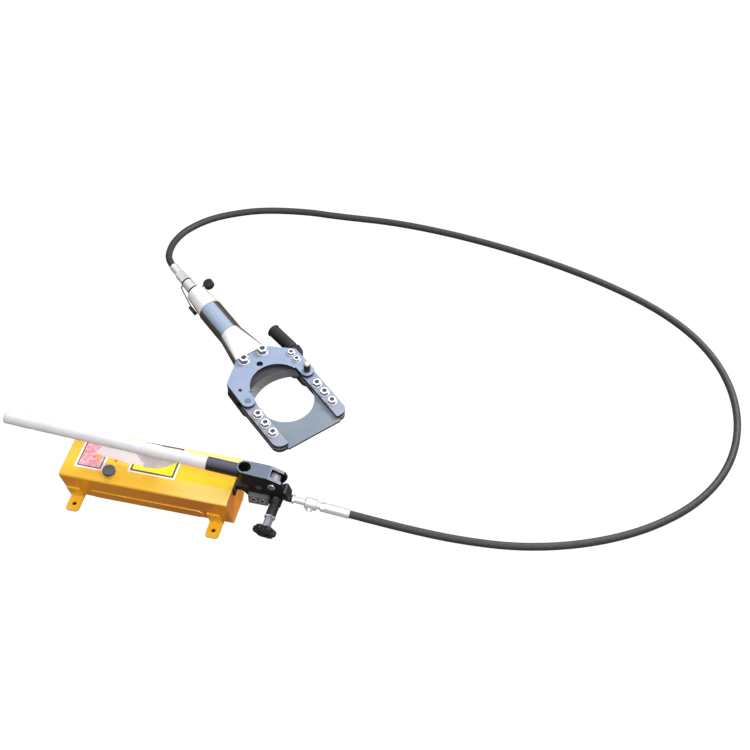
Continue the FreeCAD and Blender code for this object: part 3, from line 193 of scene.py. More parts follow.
def layPaintedLightWashes(tree, under, paintedLightWashes):
    # painted light: lay each wash of painted highlight or painted shade over the one under it, between places
    # along x, y or z in mm
    geometry = addNode(tree, "ShaderNodeNewGeometry")
    split = addNode(tree, "ShaderNodeSeparateXYZ")
    tree.links.new(geometry.outputs["Position"], split.inputs[0])
    for colour, strength, limits in paintedLightWashes:
        amount = None
        for axis, start, end in limits:
            spread = addNode(tree, "ShaderNodeMapRange", interpolation_type="SMOOTHSTEP")
            setSocket(spread, "From Min", min(start, end) * mm)
            setSocket(spread, "From Max", max(start, end) * mm)
            setSocket(spread, "To Min", 0.0 if start < end else 1.0)
            setSocket(spread, "To Max", 1.0 if start < end else 0.0)
            tree.links.new(split.outputs[axis], spread.inputs["Value"])
            if amount is None:
                amount = spread.outputs["Result"]
            else:
                both = addNode(tree, "ShaderNodeMath", operation="MULTIPLY")
                tree.links.new(amount, both.inputs[0])
                tree.links.new(spread.outputs["Result"], both.inputs[1])
                amount = both.outputs[0]
        scaled = addNode(tree, "ShaderNodeMath", operation="MULTIPLY")
        scaled.inputs[1].default_value = strength
        tree.links.new(amount, scaled.inputs[0])
        # a colour mix keeps its factor in socket 0, its two colours in 6 and 7, and its result in 2
        mix = addNode(tree, "ShaderNodeMix", data_type="RGBA")
        mix.inputs[7].default_value = (*colour, 1)
        tree.links.new(scaled.outputs[0], mix.inputs[0])
        tree.links.new(under, mix.inputs[6])
        under = mix.outputs[2]
    return under


def makeFinish(name, colour, roughness, metal=0.0, shine=0.5, coat=0.0, coatRoughness=0.1,
               tint=None, tintScale=30, tintAmount=0.5, grain=0.0, grainScale=900, stretch=None,
               patchy=0.0, patchScale=60, seed=0.0, glow=0.0, paintedLightBands=None, paintedLightWashes=None):
    material = bpy.data.materials.new(name)
    material.use_nodes = True
    tree = material.node_tree
    shader = tree.nodes["Principled BSDF"]
    setSocket(shader, "Base Color", colour)
    setSocket(shader, "Roughness", roughness)
    setSocket(shader, "Metallic", metal)
    setSocket(shader, "Specular IOR Level", shine)
    setSocket(shader, "Coat Weight", coat)
    setSocket(shader, "Coat Roughness", coatRoughness)
    if tint:
        cloud = noiseNode(tree, tintScale, 3, None, seed)
        ramp = addNode(tree, "ShaderNodeValToRGB")
        ramp.color_ramp.elements[0].position = 0.5 - tintAmount / 2
        ramp.color_ramp.elements[1].position = 0.5 + tintAmount / 2
        ramp.color_ramp.elements[0].color = colour
        ramp.color_ramp.elements[1].color = tint
        tree.links.new(cloud.outputs["Fac"], ramp.inputs["Fac"])
        skin = ramp.outputs["Color"]
        if paintedLightWashes:
            skin = layPaintedLightWashes(tree, skin, paintedLightWashes)
        tree.links.new(skin, shader.inputs["Base Color"])
    # painted highlights, reflections and shade by facing, in place of the base colour
    if paintedLightBands:
        tree.links.new(paintedLightByFacing(tree, *paintedLightBands), shader.inputs["Base Color"])
    if glow:
        setSocket(shader, "Emission Color", colour)
        setSocket(shader, "Emission Strength", glow)
    if patchy:
        cloud = noiseNode(tree, patchScale, 4, stretch, seed + 3)
        spread = addNode(tree, "ShaderNodeMapRange")
        setSocket(spread, "From Min", patchSpread[0])
        setSocket(spread, "From Max", patchSpread[1])
        setSocket(spread, "To Min", max(0.02, roughness - patchy))
        setSocket(spread, "To Max", min(1.0, roughness + patchy))
        tree.links.new(cloud.outputs["Fac"], spread.inputs["Value"])
        tree.links.new(spread.outputs["Result"], shader.inputs["Roughness"])
    if grain:
        cloud = noiseNode(tree, grainScale, 2, stretch, seed + 7)
        bump = addNode(tree, "ShaderNodeBump")
        setSocket(bump, "Strength", grain)
        setSocket(bump, "Distance", grainDepth)
        tree.links.new(cloud.outputs["Fac"], bump.inputs["Height"])
        tree.links.new(bump.outputs["Normal"], shader.inputs["Normal"])
    return material


# painted reflections and painted highlights: bands of colour by how far a face looks along the band's axis, and
# its colour there
upward = (0.0, 0.0, 1.0)
paintedReflectionTilt = math.radians(20)
blackPaintedSheenStops = ((0.15, (0.004, 0.004, 0.004)), (0.6, (0.012, 0.012, 0.014)), (0.95, (0.030, 0.034, 0.045)))
sleevePaintedSheenStops = ((0.05, (0.004, 0.004, 0.004)), (0.45, (0.018, 0.017, 0.018)), (0.80, (0.060, 0.064, 0.085)),
               (1.0, (0.085, 0.092, 0.125)))
paintedReflectionAxis = tuple(headW * math.cos(paintedReflectionTilt) - headV * math.sin(paintedReflectionTilt))
nickelPaintedReflectionStops = ((0.05, (0.05, 0.045, 0.04)), (0.55, (0.15, 0.135, 0.12)), (0.72, (0.30, 0.28, 0.25)),
               (0.80, (0.97, 0.98, 1.0)))
rearPaintedReflectionStops = ((0.02, (0.08, 0.075, 0.06)), (0.22, (0.24, 0.22, 0.17)), (0.42, (0.62, 0.61, 0.55)),
             (0.50, (0.97, 0.98, 1.0)))
barrelPaintedReflectionStops = ((0.10, (0.035, 0.03, 0.026)), (0.62, (0.070, 0.060, 0.052)), (0.78, (0.10, 0.095, 0.095)),
               (0.83, (0.33, 0.43, 0.59)), (0.97, (0.38, 0.48, 0.64)))

finishes = {
    "tank_paint": dict(colour=(0.92, 0.51, 0.028, 1), tint=(0.97, 0.57, 0.042, 1), tintScale=9,
                       roughness=0.34, coat=0.3, coatRoughness=0.15, grain=0.1, grainScale=420,
                       patchy=0.05,
                       # painted light: a pale painted sheen towards the front of the top at the pump end, a deeper
                       # painted reflection and shade of the black sleeve along the middle, and a pale painted
                       # sheen along the back edge
                       paintedLightWashes=(((1.0, 0.74, 0.20), 0.85, ((0, 10, 130), (1, -5, -30))),
                               ((1.0, 0.56, 0.006), 0.95, ((0, 20, 90), (1, -26, -16), (1, 30, 16))),
                               ((1.0, 0.80, 0.27), 0.95, ((1, 34, 48),)))),
    "foot_paint": dict(colour=(0.95, 0.50, 0.022, 1), tint=(0.97, 0.57, 0.04, 1), tintScale=14,
                       roughness=0.34, coat=0.3, grain=0.12, grainScale=420),
    "rivet_zinc": dict(colour=(0.70, 0.30, 0.02, 1), roughness=0.4, metal=0.1, grain=0.1),
    "cap_plastic": dict(colour=(0.075, 0.088, 0.115, 1), tint=(0.11, 0.125, 0.15, 1), roughness=0.5,
                        grain=0.25, grainScale=1500),
    # painted sheen: the black casting's upward faces are painted lighter and bluer, its downward faces darker
    "black_casting": dict(colour=(0.006, 0.006, 0.007, 1), paintedLightBands=(upward, blackPaintedSheenStops), roughness=0.42,
                          shine=0.35, grain=0.5, grainScale=700, patchy=0.12),
    "block_grey": dict(colour=(0.13, 0.135, 0.15, 1), tint=(0.20, 0.205, 0.22, 1), roughness=0.5,
                       metal=0.3, grain=0.3, grainScale=1200, patchy=0.1),
    "steel_pin": dict(colour=(0.55, 0.56, 0.59, 1), roughness=0.3, metal=0.9, patchy=0.08),
    "chrome": dict(colour=(0.86, 0.87, 0.90, 1), roughness=0.14, metal=1.0, patchy=0.04),
    "lever_black": dict(colour=(0.004, 0.004, 0.005, 1), tint=(0.008, 0.008, 0.010, 1), roughness=0.42,
                        shine=0.25, grain=0.45, grainScale=650, patchy=0.1),
    # painted highlight on top of the sleeve, fading to painted shade underneath
    "sleeve_black": dict(colour=(0.014, 0.014, 0.016, 1), paintedLightBands=(upward, sleevePaintedSheenStops), roughness=0.45,
                         shine=0.35, grain=0.2),
    "handle_steel": dict(colour=(0.5, 0.5, 0.52, 1), roughness=0.35, metal=1.0, patchy=0.1),
    "film_white": dict(colour=(0.70, 0.685, 0.74, 1), tint=(0.78, 0.77, 0.81, 1), tintScale=40,
                       roughness=0.6, shine=0.3, grain=0.4, grainScale=300),
    "knob_black": dict(colour=(0.006, 0.006, 0.007, 1), tint=(0.014, 0.014, 0.016, 1), roughness=0.45,
                       shine=0.4, grain=0.3),
    # a faint painted glow brightens the zinc fittings
    "fitting_zinc": dict(colour=(0.86, 0.87, 0.89, 1), tint=(0.76, 0.78, 0.82, 1), roughness=0.3,
                         metal=0.7, patchy=0.08, grain=0.05, glow=0.06),
    "hose_rubber": dict(colour=(0.016, 0.016, 0.018, 1), tint=(0.040, 0.040, 0.044, 1), tintScale=220,
                        roughness=0.55, grain=0.7, grainScale=1400),
    "cap_rubber": dict(colour=(0.006, 0.006, 0.007, 1), tint=(0.014, 0.014, 0.016, 1), roughness=0.5,
                       shine=0.4, grain=0.3),
    # painted reflection: a white top and grey-brown and dark side bands on the nickel
    "cylinder_nickel": dict(colour=(0.90, 0.90, 0.90, 1), paintedLightBands=(paintedReflectionAxis, nickelPaintedReflectionStops), roughness=0.3,
                            metal=0.25, patchy=0.07),
    # painted reflection: a light-blue top band and dark-brown side bands on the barrel
    "barrel_chrome": dict(colour=(0.40, 0.50, 0.66, 1), paintedLightBands=(paintedReflectionAxis, barrelPaintedReflectionStops), roughness=0.25,
                          metal=0.3, patchy=0.04),
    "inner_steel": dict(colour=(0.5, 0.5, 0.52, 1), roughness=0.35, metal=1.0, patchy=0.1),
    "seal_rubber": dict(colour=(0.10, 0.05, 0.03, 1), roughness=0.5, grain=0.2),
    "spring_steel": dict(colour=(0.25, 0.25, 0.27, 1), roughness=0.4, metal=1.0, patchy=0.1),
    "frame_zinc": dict(colour=(0.27, 0.37, 0.53, 1), tint=(0.34, 0.39, 0.55, 1), tintScale=45,
                       tintAmount=0.4, roughness=0.48, metal=0.35, patchy=0.06, grain=0.06,
                       grainScale=600),
    "bolt_zinc": dict(colour=(0.20, 0.21, 0.25, 1), tint=(0.10, 0.105, 0.13, 1), roughness=0.28,
                      metal=0.9, patchy=0.08),
    "guide_steel": dict(colour=(0.008, 0.008, 0.009, 1), roughness=0.5, metal=0.1, grain=0.2),
    "blade_steel": dict(colour=(0.040, 0.038, 0.048, 1), tint=(0.058, 0.056, 0.068, 1), roughness=0.45,
                        metal=0.3, patchy=0.08, grain=0.1, grainScale=500, stretch=(1, 6, 1)),
    "fixed_blade_steel": dict(colour=(0.19, 0.235, 0.295, 1), tint=(0.23, 0.27, 0.33, 1), roughness=0.5,
                              metal=0.3, patchy=0.05, grain=0.08, grainScale=500, stretch=(6, 1, 1)),
    "bar_zinc": dict(colour=(0.28, 0.32, 0.43, 1), tint=(0.34, 0.355, 0.46, 1), tintScale=45,
                     roughness=0.48, metal=0.35, patchy=0.06, grain=0.06, grainScale=600),
    "grip_rubber": dict(colour=(0.008, 0.008, 0.009, 1), tint=(0.016, 0.016, 0.018, 1), roughness=0.55,
                        shine=0.4, grain=0.4),
    "grip_steel": dict(colour=(0.010, 0.010, 0.013, 1), tint=(0.018, 0.018, 0.022, 1), roughness=0.4,
                       grain=0.2),
}

# finishes for parts of a node's faces, and for the pieces made here
extraFinishes = {
    # painted shade: a darker copy of the tank paint for the faces that look sideways, darker again towards the
    # pump end
    "tankSidePaintedShade": dict(colour=(1.0, 0.36, 0.004, 1), tint=(1.0, 0.42, 0.008, 1), tintScale=9,
                     roughness=0.36, coat=0.25, coatRoughness=0.15, grain=0.12, grainScale=420,
                     paintedLightWashes=(((0.80, 0.24, 0.008), 0.9, ((0, -60, 120),)),)),
    # painted reflection bands for the cylinder's rear cap
    "rearCapPaintedReflection": dict(colour=(0.90, 0.90, 0.90, 1), paintedLightBands=(paintedReflectionAxis, rearPaintedReflectionStops), roughness=0.3, metal=0.25,
                    patchy=0.07),
    "spindleGrey": dict(colour=(0.36, 0.40, 0.48, 1), roughness=0.3, metal=0.7, patchy=0.1),
    "pinHead": dict(colour=(0.045, 0.045, 0.05, 1), roughness=0.4, shine=0.5),
    # painted shade: a darker copy of the tank paint for the end faces
    "tankEndPaintedShade": dict(colour=(0.93, 0.29, 0.003, 1), tint=(0.98, 0.34, 0.006, 1), tintScale=9,
                    roughness=0.36, coat=0.25, coatRoughness=0.15, grain=0.12, grainScale=420),
    # painted sheen: a blue-grey lit top for the black lever
    "leverTopPaintedSheen": dict(colour=(0.12, 0.15, 0.22, 1), tint=(0.16, 0.19, 0.26, 1), roughness=0.45, shine=0.4,
                     grain=0.3, grainScale=650),
    # painted highlight: a lighter lit top for the link
    "linkTopPaintedSheen": dict(colour=(0.20, 0.20, 0.25, 1), tint=(0.27, 0.27, 0.33, 1), roughness=0.45, grain=0.3),
    "studEnd": dict(colour=(0.05, 0.058, 0.085, 1), roughness=0.45, metal=0.3, grain=0.4,
                    grainScale=2500),
    "nutTop": dict(colour=(0.86, 0.87, 0.90, 1), roughness=0.35, metal=0.2),
    "groundEdge": dict(colour=(0.048, 0.047, 0.054, 1), tint=(0.070, 0.069, 0.079, 1), roughness=0.4,
                       metal=0.4, patchy=0.1, grain=0.1, grainScale=900, stretch=(1, 8, 1)),
    "plateEdge": dict(colour=(0.022, 0.024, 0.030, 1), tint=(0.04, 0.043, 0.052, 1), roughness=0.5,
                      metal=0.2, grain=0.2, grainScale=900),
    # painted shade for inner faces, hollows and sockets
    "recessPaintedShade": dict(colour=(0.012, 0.012, 0.014, 1), roughness=0.6),
    "pinCap": dict(colour=(0.15, 0.20, 0.27, 1), tint=(0.19, 0.24, 0.31, 1), roughness=0.4, metal=0.3,
                   grain=0.2),
    "latchCap": dict(colour=(0.78, 0.80, 0.83, 1), roughness=0.2, metal=0.5),
    "labelWhite": dict(colour=(0.90, 0.90, 0.90, 1), roughness=0.35, grain=0.05),
    "labelLine": dict(colour=(0.09, 0.08, 0.10, 1), roughness=0.35, grain=0.05),
    "labelPink": dict(colour=(0.84, 0.16, 0.20, 1), tint=(0.90, 0.62, 0.70, 1), tintScale=120,
                      tintAmount=0.35, roughness=0.35, grain=0.05),
    "labelYellow": dict(colour=(1.0, 0.83, 0.004, 1), tint=(1.0, 0.88, 0.03, 1), roughness=0.35,
                        grain=0.05),
    "labelRed": dict(colour=(0.75, 0.03, 0.02, 1), roughness=0.35, grain=0.05),
    "labelOrange": dict(colour=(0.90, 0.38, 0.02, 1), roughness=0.35, grain=0.05),
    # the faint glow is painted light, standing in for the light that comes through thin film; looseFilmShade is a
    # darker painted-shade copy of the film
    "looseFilm": dict(colour=(0.80, 0.78, 0.88, 1), tint=(0.86, 0.85, 0.92, 1), tintScale=30,
                      roughness=0.45, shine=0.4, grain=0.2, grainScale=260, glow=0.36),
    "looseFilmShade": dict(colour=(0.52, 0.49, 0.56, 1), tint=(0.66, 0.64, 0.70, 1), tintScale=60,
                           roughness=0.45, shine=0.4, grain=0.3, grainScale=260, glow=0.20),
    "ringLight": dict(colour=(0.60, 0.61, 0.64, 1), roughness=0.3, metal=0.6),
    "ringDark": dict(colour=(0.006, 0.006, 0.007, 1), roughness=0.5),
}


creaseAngle = math.radians(28)


def dressNodes():
    made = {slot: makeFinish(slot, **values) for slot, values in {**finishes, **extraFinishes}.items()}
    slotOf = {part["node"]: part["material_slot"] for part in frame["record"]["subparts"]}
    for name, node in nodes.items():
        node.data.materials.clear()
        node.data.materials.append(made[slotOf[name]])
        for face in node.data.polygons:
            face.use_smooth = True
        edges = node.modifiers.new("softEdges", "EDGE_SPLIT")
        edges.split_angle = creaseAngle
    print("nodes dressed")
    return made


def paintFaces(name, finish, wanted):
    # give the faces that wanted() picks, by middle and normal, a finish of their own
    node = nodes[name]
    turn = node.matrix_world
    node.data.materials.append(finish)
    last = len(node.data.materials) - 1
    for face in node.data.polygons:
        middle = turn @ face.center
        normal = (turn.to_3x3() @ face.normal).normalized()
        if wanted(middle, normal):
            face.material_index = last


def headSpot(point):
    away = point - headOrigin
    return away.dot(headU) / mm, away.dot(headV) / mm, away.dot(headW) / mm


def headPlace(u, v, w):
    return headOrigin + (headU * u + headV * v + headW * w) * mm


releaseStart = Vector(joints["release_turn"]["pos_m"])
releaseLine = Vector(joints["release_turn"]["axis"]).normalized()

detail = {
    "rearCapEnd": -170, "spindleCollar": 30, "socketLevel": -21.0, "pinLevel": 18,
    "plates": ("frame_plate_top", "frame_plate_bottom", "gate_bars_upper", "gate_bars_lower"),
    # radius, level above which the end shows, and (u, v) of each
    "studs": {"rear_bolts": (5.2, 20, ((0, 23.3), (0, -23.3))),
              "grip_bolts": (3.6, 20, ((38, 71.5), (59.5, 71.5))),
              "gate_bolts": (4.4, 11, [(u, v) for u in (133.5, 161.5, 189.5) for v in (-hingeV, hingeV)])},
}


def paintDetails(d):
    def onStud(radius, level, lines):
        def test(middle, normal):
            u, v, w = headSpot(middle)
            near = any(math.hypot(u - a, v - b) < radius for a, b in lines)
            return near and w > level
        return test

    def facesUp(middle, normal):
        return normal.dot(headW) > 0.5

    def facesDown(middle, normal):
        return normal.dot(headW) < -0.5

    def aroundEdge(limit):
        return lambda middle, normal: abs(normal.dot(headW)) < limit

    def abovePlates(middle, normal):
        return headSpot(middle)[2] > d["pinLevel"]

    for name, stud in d["studs"].items():
        paintFaces(name, made["nutTop"], facesUp)
        paintFaces(name, made["studEnd"], onStud(*stud))
    for name in d["plates"]:
        paintFaces(name, made["plateEdge"], aroundEdge(0.5))
    # painted shade on the inner faces of the frame plates
    paintFaces("frame_plate_bottom", made["recessPaintedShade"], facesUp)
    paintFaces("frame_plate_top", made["recessPaintedShade"], facesDown)
    paintFaces("moving_blade", made["groundEdge"],
               lambda middle, normal: 0.1 < normal.dot(headW) < 0.97 and normal.dot(headU) > 0.1)
    paintFaces("moving_blade", made["plateEdge"], aroundEdge(0.1))
    paintFaces("fixed_blade", made["plateEdge"], aroundEdge(0.4))
    paintFaces("hinge_pin", made["pinCap"], abovePlates)
    paintFaces("latch_pin", made["latchCap"], abovePlates)
    # painted shade on the tank's sideways faces
    paintFaces("tank_shell", made["tankSidePaintedShade"],
               lambda middle, normal: abs(normal.y) > 0.55 and normal.z < 0.35)
    # painted shade on the tank ends' faces that do not look up
    for name in ("tank_end_front", "tank_end_rear"):
        paintFaces(name, made["tankEndPaintedShade"], lambda middle, normal: normal.z < 0.35)
    # painted sheen on the lever's upward faces
    paintFaces("lever_head", made["leverTopPaintedSheen"], lambda middle, normal: normal.z > 0.8)
    # painted reflection on the rear cap of the cylinder
    paintFaces("cylinder_rear", made["rearCapPaintedReflection"],
               lambda middle, normal: headSpot(middle)[0] < d["rearCapEnd"])
    paintFaces("plunger_pin", made["pinHead"], lambda middle, normal: normal.y < -0.8)
    paintFaces("release_spindle", made["spindleGrey"],
               lambda middle, normal: (middle - releaseStart).dot(releaseLine) > d["spindleCollar"] * mm)
    # painted shade in the plugs' sockets and on their hidden sides
    paintFaces("block_screws", made["recessPaintedShade"],
               lambda middle, normal: middle.y > d["socketLevel"] * mm or abs(normal.y) < 0.5)
    # painted highlight on the link's upward faces
    paintFaces("link", made["linkTopPaintedSheen"], lambda middle, normal: normal.z > 0.25)
    print("details painted")


# hose

hoseSet = {
    "radius": 7.75 * mm, "length": 2.67, "smoothness": 12, "roundness": 6,
    "collarToEnd": 76, "straightRun": 92, "headCollarToEnd": 75,  # mm, straight out of each fitting
    "floorRun": [
        (612, 5, 37), (735, 22, 28), (858, 70, 14), (968, 136, 8), (1058, 222, 8), (1112, 328, 8),
        (1124, 446, 8), (1096, 562, 8), (1030, 664, 8), (930, 742, 8), (800, 800, 8), (648, 846, 8),
        (474, 879, 8), (300, 893, 8), (150, 882, 8), (78, 881, 8.5), (-28, 862, 10), (-105, 825.5, 11),
        (-149, 789.5, 14), (-179.5, 740, 21), (-188.5, 692, 31.5), (-185.5, 646, 44), (-173.5, 602, 53),
    ],
}


def hoseRoute(h):
    tilt = Vector(joints["pump_collar_turn"]["axis"])
    pumpCollar = Vector(joints["pump_collar_turn"]["pos_m"])
    pumpEnd = pumpCollar + tilt * h["collarToEnd"] * mm
    along = Vector(joints["ram_slide"]["axis"])
    headCollar = Vector(joints["head_collar_turn"]["pos_m"])
    headEnd = headCollar - along * h["headCollarToEnd"] * mm
    floorRun = [(Vector(point) + Vector((tankShift, 0, 0))) * mm for point in h["floorRun"]]
    return [pumpEnd, pumpEnd + tilt * h["straightRun"] * mm] + floorRun + [headEnd]


def makeHose(h, material):
    route = hoseRoute(h)
    curve = bpy.data.curves.new("hoseLine", "CURVE")
    curve.dimensions = "3D"
    spline = curve.splines.new("NURBS")
    spline.points.add(len(route) - 1)
    for point, place in zip(spline.points, route):
        point.co = (*place, 1)
    spline.order_u = 3
    spline.use_endpoint_u = True
    spline.resolution_u = h["smoothness"]
    curve.bevel_depth = h["radius"]
    curve.bevel_resolution = h["roundness"]
    curve.materials.append(material)
    hose = bpy.data.objects.new("hoseCover", curve)
    bpy.context.scene.collection.objects.link(hose)
    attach(hose, "pump")
    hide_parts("hose")
    print("hose done")


# the handle: a point along it from the fulcrum, a lift above its line, and a side shift, all in mm
handleTilt = math.radians(4)
handleLift = 6.25
fulcrum = Vector(joints["handle_swing"]["pos_m"])


def handlePlace(along, lift, side=0.0):
    x, z = -along, handleLift + lift
    tiltedX = x * math.cos(handleTilt) + z * math.sin(handleTilt)
    tiltedZ = z * math.cos(handleTilt) - x * math.sin(handleTilt)
    return fulcrum + Vector((tiltedX, side, tiltedZ)) * mm


def meshPiece(name, points, faces, finishList, body, smooth=True):
    mesh = bpy.data.meshes.new(name)
    mesh.from_pydata([tuple(point) for point in points], [], faces)
    mesh.update()
    piece = bpy.data.objects.new(name, mesh)
    bpy.context.scene.collection.objects.link(piece)
    for finish in finishList:
        mesh.materials.append(finish)
    for face in mesh.polygons:
        face.use_smooth = smooth
    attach(piece, body)
    return piece


def gridFaces(rows, columns, closed):
    faces = []
    wide = columns if closed else columns - 1
    for row in range(rows - 1):
        for column in range(wide):
            after = (column + 1) % columns
            faces.append((row * columns + column, row * columns + after,
                          (row + 1) * columns + after, (row + 1) * columns + column))
    return faces


# the film on the handle, in mm: dents and creases are (height, how often along, how often around)
wrapSet = {
    "start": 131.2, "end": 534.5, "radius": 12.35, "bore": 11.55, "turnPitch": 58.0, "lap": 0.45,
    "lapEdge": 14, "dents": (0.75, 0.035, 1.2), "dentShare": 0.6, "creases": (0.28, 0.16, 3),
    "rings": 300, "sides": 56,
}


def makeWrap(w, finish):
    dentHeight, dentAlong, dentAround = w["dents"]
    creaseHeight, creaseAlong, creaseAround = w["creases"]
    points = []
    for ringIndex in range(w["rings"] + 1):
        along = w["start"] + (w["end"] - w["start"]) * ringIndex / w["rings"]
        for side in range(w["sides"]):
            angle = 2 * math.pi * side / w["sides"]
            c, s = math.cos(angle), math.sin(angle)
            turns = (along / w["turnPitch"] + side / w["sides"]) % 1.0
            lapStep = w["lap"] * (1 - turns) * min(1.0, turns * w["lapEdge"])  # each turn laps over the last
            dent = noise.noise(Vector((along * dentAlong, c * dentAround, s * dentAround))) * dentHeight
            crease = noise.noise(Vector((along * creaseAlong, c * creaseAround, s * creaseAround + 5)))
            radius = w["radius"] + lapStep + dent * w["dentShare"] + crease * creaseHeight
            points.append(handlePlace(along, radius * math.cos(angle), radius * math.sin(angle)))
    faces = gridFaces(w["rings"] + 1, w["sides"], True)
    inner = len(points)
    for along in (w["start"], w["end"]):
        for side in range(w["sides"]):
            angle = 2 * math.pi * side / w["sides"]
            points.append(handlePlace(along, w["bore"] * math.cos(angle), w["bore"] * math.sin(angle)))
    for side in range(w["sides"]):
        after = (side + 1) % w["sides"]
        last = w["rings"] * w["sides"]
        faces.append((side, inner + side, inner + after, after))
        faces.append((last + side, last + after, inner + w["sides"] + after, inner + w["sides"] + side))
    wrap = meshPiece("filmWrap", points, faces, [finish], "handle")
    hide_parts("handle_wrap")
    print("film wrap done")


# loose ends of the film: top line on the tube, lower edge as (along the tank, across, height) in mm
flapSet = {
    "thickness": 0.25, "tubeRadius": 12.6, "bulge": 2.2, "shortest": 0.02,
    "ripples": ((9, 0, 1, 0.8), (23, 3, 2, 0.25)),  # how often along, down and by seed, then the height
    "folds": (9, 3.2), "sharpFolds": (15, 5), "sharpShare": 0.9, "easeShare": 0.35,
    "front": {
        "seed": 1.0, "top": (-86, -24), "lean": -0.30,
        "edge": ((-112, -3, 107), (-98, -5, 106), (-84, -5, 105.5), (-63, -6, 104.5), (-43, -8.5, 103.5),
                 (-24, -9, 103), (-7, -9, 103), (2, -10, 102)),
        "columns": 70, "rows": 26, "crumple": 0.7, "finish": "looseFilm",
    },
    "back": {
        "seed": 4.0, "top": (-34, 66), "lean": 0.1,
        "edge": ((-34, 2, 116), (-18, -4, 108), (-5, -11, 103.2), (5, -11, 102.8), (16, -10, 104),
                 (26, -6.5, 105.5), (36, -5, 110), (47, -4.5, 117), (63, -4.5, 131)),
        "columns": 70, "rows": 22, "crumple": 1.1, "finish": "looseFilmShade",
    },
}


def along01(points, share, ease):
    # a place along a row of points, eased a little at each of them
    spot = share * (len(points) - 1)
    low = min(int(spot), len(points) - 2)
    part = spot - low
    part = part * part * (3 - 2 * part) * ease + part * (1 - ease)
    return Vector(points[low]).lerp(Vector(points[low + 1]), part)


def makeFlap(name, common, f):
    seed, lean, tube = f["seed"], f["lean"], common["tubeRadius"]
    points = []
    for row in range(f["rows"]):
        hang = row / (f["rows"] - 1)
        for column in range(f["columns"]):
            share = column / (f["columns"] - 1)
            topX = f["top"][0] + (f["top"][1] - f["top"][0]) * share
            reach = (fulcrum.x / mm - tankShift - topX) / math.cos(handleTilt)
            top = handlePlace(reach, -tube * math.cos(lean), tube * math.sin(lean))
            low = along01(f["edge"], share, common["easeShare"])
            low = Vector((low.x + tankShift, low.y, low.z)) * mm
            place = top.lerp(low, hang)
            wave = sum(math.sin(share * often + hang * down + seed * turn) * height * hang
                       for often, down, turn, height in common["ripples"])
            often, down = common["folds"]
            folds = noise.noise(Vector((share * often + seed, hang * down, seed))) * f["crumple"]
            often, down = common["sharpFolds"]
            sharp = abs(noise.noise(Vector((share * often, hang * down + seed, 3)))) * f["crumple"]
            bulge = -math.sin(hang * math.pi) * common["bulge"]
            push = (wave + (folds + sharp * common["sharpShare"]) * min(1.0, hang * 4) + bulge) * mm
            points.append(place + Vector((0, push, 0)))
    faces = gridFaces(f["rows"], f["columns"], False)
    flap = meshPiece(name, points, faces, [made[f["finish"]]], "handle")
    skin = flap.modifiers.new("skin", "SOLIDIFY")
    skin.thickness = common["thickness"] * mm


# blank labels on the tank, in mm: box, white border, dark line and field colour
labelSet = {
    "top": 98.5, "thick": 0.25, "layerStep": 0.06, "patchRise": 0.2, "cornerRadius": 2.0, "leastRadius": 0.8,
    "plates": (
        ("leftLabel", (-142.5, -35.0, -85.2, 50.0), 4.2, 2.4, "labelPink"),
        ("rightLabel", (-37.0, -23.8, 58.0, 57.0), 3.6, 3.8, "labelYellow"),
    ),
    "patches": (("orangePatch", ((-108, -8), (-99, -9), (-98, 0), (-106, 3)), "labelOrange"),
                ("redPatch", ((-66, -9), (-63, 1), (-72, 0)), "labelRed")),
}


def flatPiece(name, outline, low, high, finish):
    count = len(outline)
    points = [Vector((x, y, low)) * mm for x, y in outline] + [Vector((x, y, high)) * mm for x, y in outline]
    faces = [tuple(range(count, 2 * count)), tuple(reversed(range(count)))]
    faces += [(k, (k + 1) % count, (k + 1) % count + count, k + count) for k in range(count)]
    piece = meshPiece(name, points, faces, [finish], "pump", smooth=False)
    return piece


def rounded(x0, y0, x1, y1, radius, steps=5):
    outline = []
    for cx, cy, start in ((x1 - radius, y1 - radius, 0), (x0 + radius, y1 - radius, 90),
                          (x0 + radius, y0 + radius, 180), (x1 - radius, y0 + radius, 270)):
        for step in range(steps + 1):
            angle = math.radians(start + 90 * step / steps)
            outline.append((cx + radius * math.cos(angle), cy + radius * math.sin(angle)))
    return outline


def makeLabels(s):
    top = s["top"]
    for name, (x0, y0, x1, y1), border, line, colour in s["plates"]:
        x0, x1 = x0 + tankShift, x1 + tankShift
        layers = ((0, "labelWhite"), (border, "labelLine"), (border + line, colour))
        for layer, (inset, finish) in enumerate(layers):
            radius = max(s["leastRadius"], s["cornerRadius"] - inset * 0.2)
            outline = rounded(x0 + inset, y0 + inset, x1 - inset, y1 - inset, radius)
            rise = s["thick"] + layer * s["layerStep"]
            flatPiece(name + str(layer), outline, top, top + rise, made[finish])
    for name, outline, finish in s["patches"]:
        outline = [(x + tankShift, y) for x, y in outline]
        flatPiece(name, outline, top, top + s["thick"] + s["patchRise"], made[finish])
    print("blank labels done")


gripSet = {
    "near": (18.0, 89.5, 0.0), "far": (-52.0, 83.0, 0.0), "radius": 13.0, "ribCount": 13, "ribHeight": 0.85,
    "plainEnd": 4, "edge": 0.8, "flange": 14.8, "flangeLength": 5.0, "core": 8.05, "coreEnd": 3.5,
    "sides": 64,
}


def turned(name, profile, start, direction, sides, finish, body):
    # a piece turned on a lathe: profile is (distance along, radius) in mm
    line = direction.normalized()
    side = line.orthogonal().normalized()
    other = line.cross(side)
    points = []
    for along, radius in profile:
        for step in range(sides):
            angle = 2 * math.pi * step / sides
            out = side * math.cos(angle) + other * math.sin(angle)
            points.append(start + (line * along + out * radius) * mm)
    return meshPiece(name, points, gridFaces(len(profile), sides, True), [finish], body)


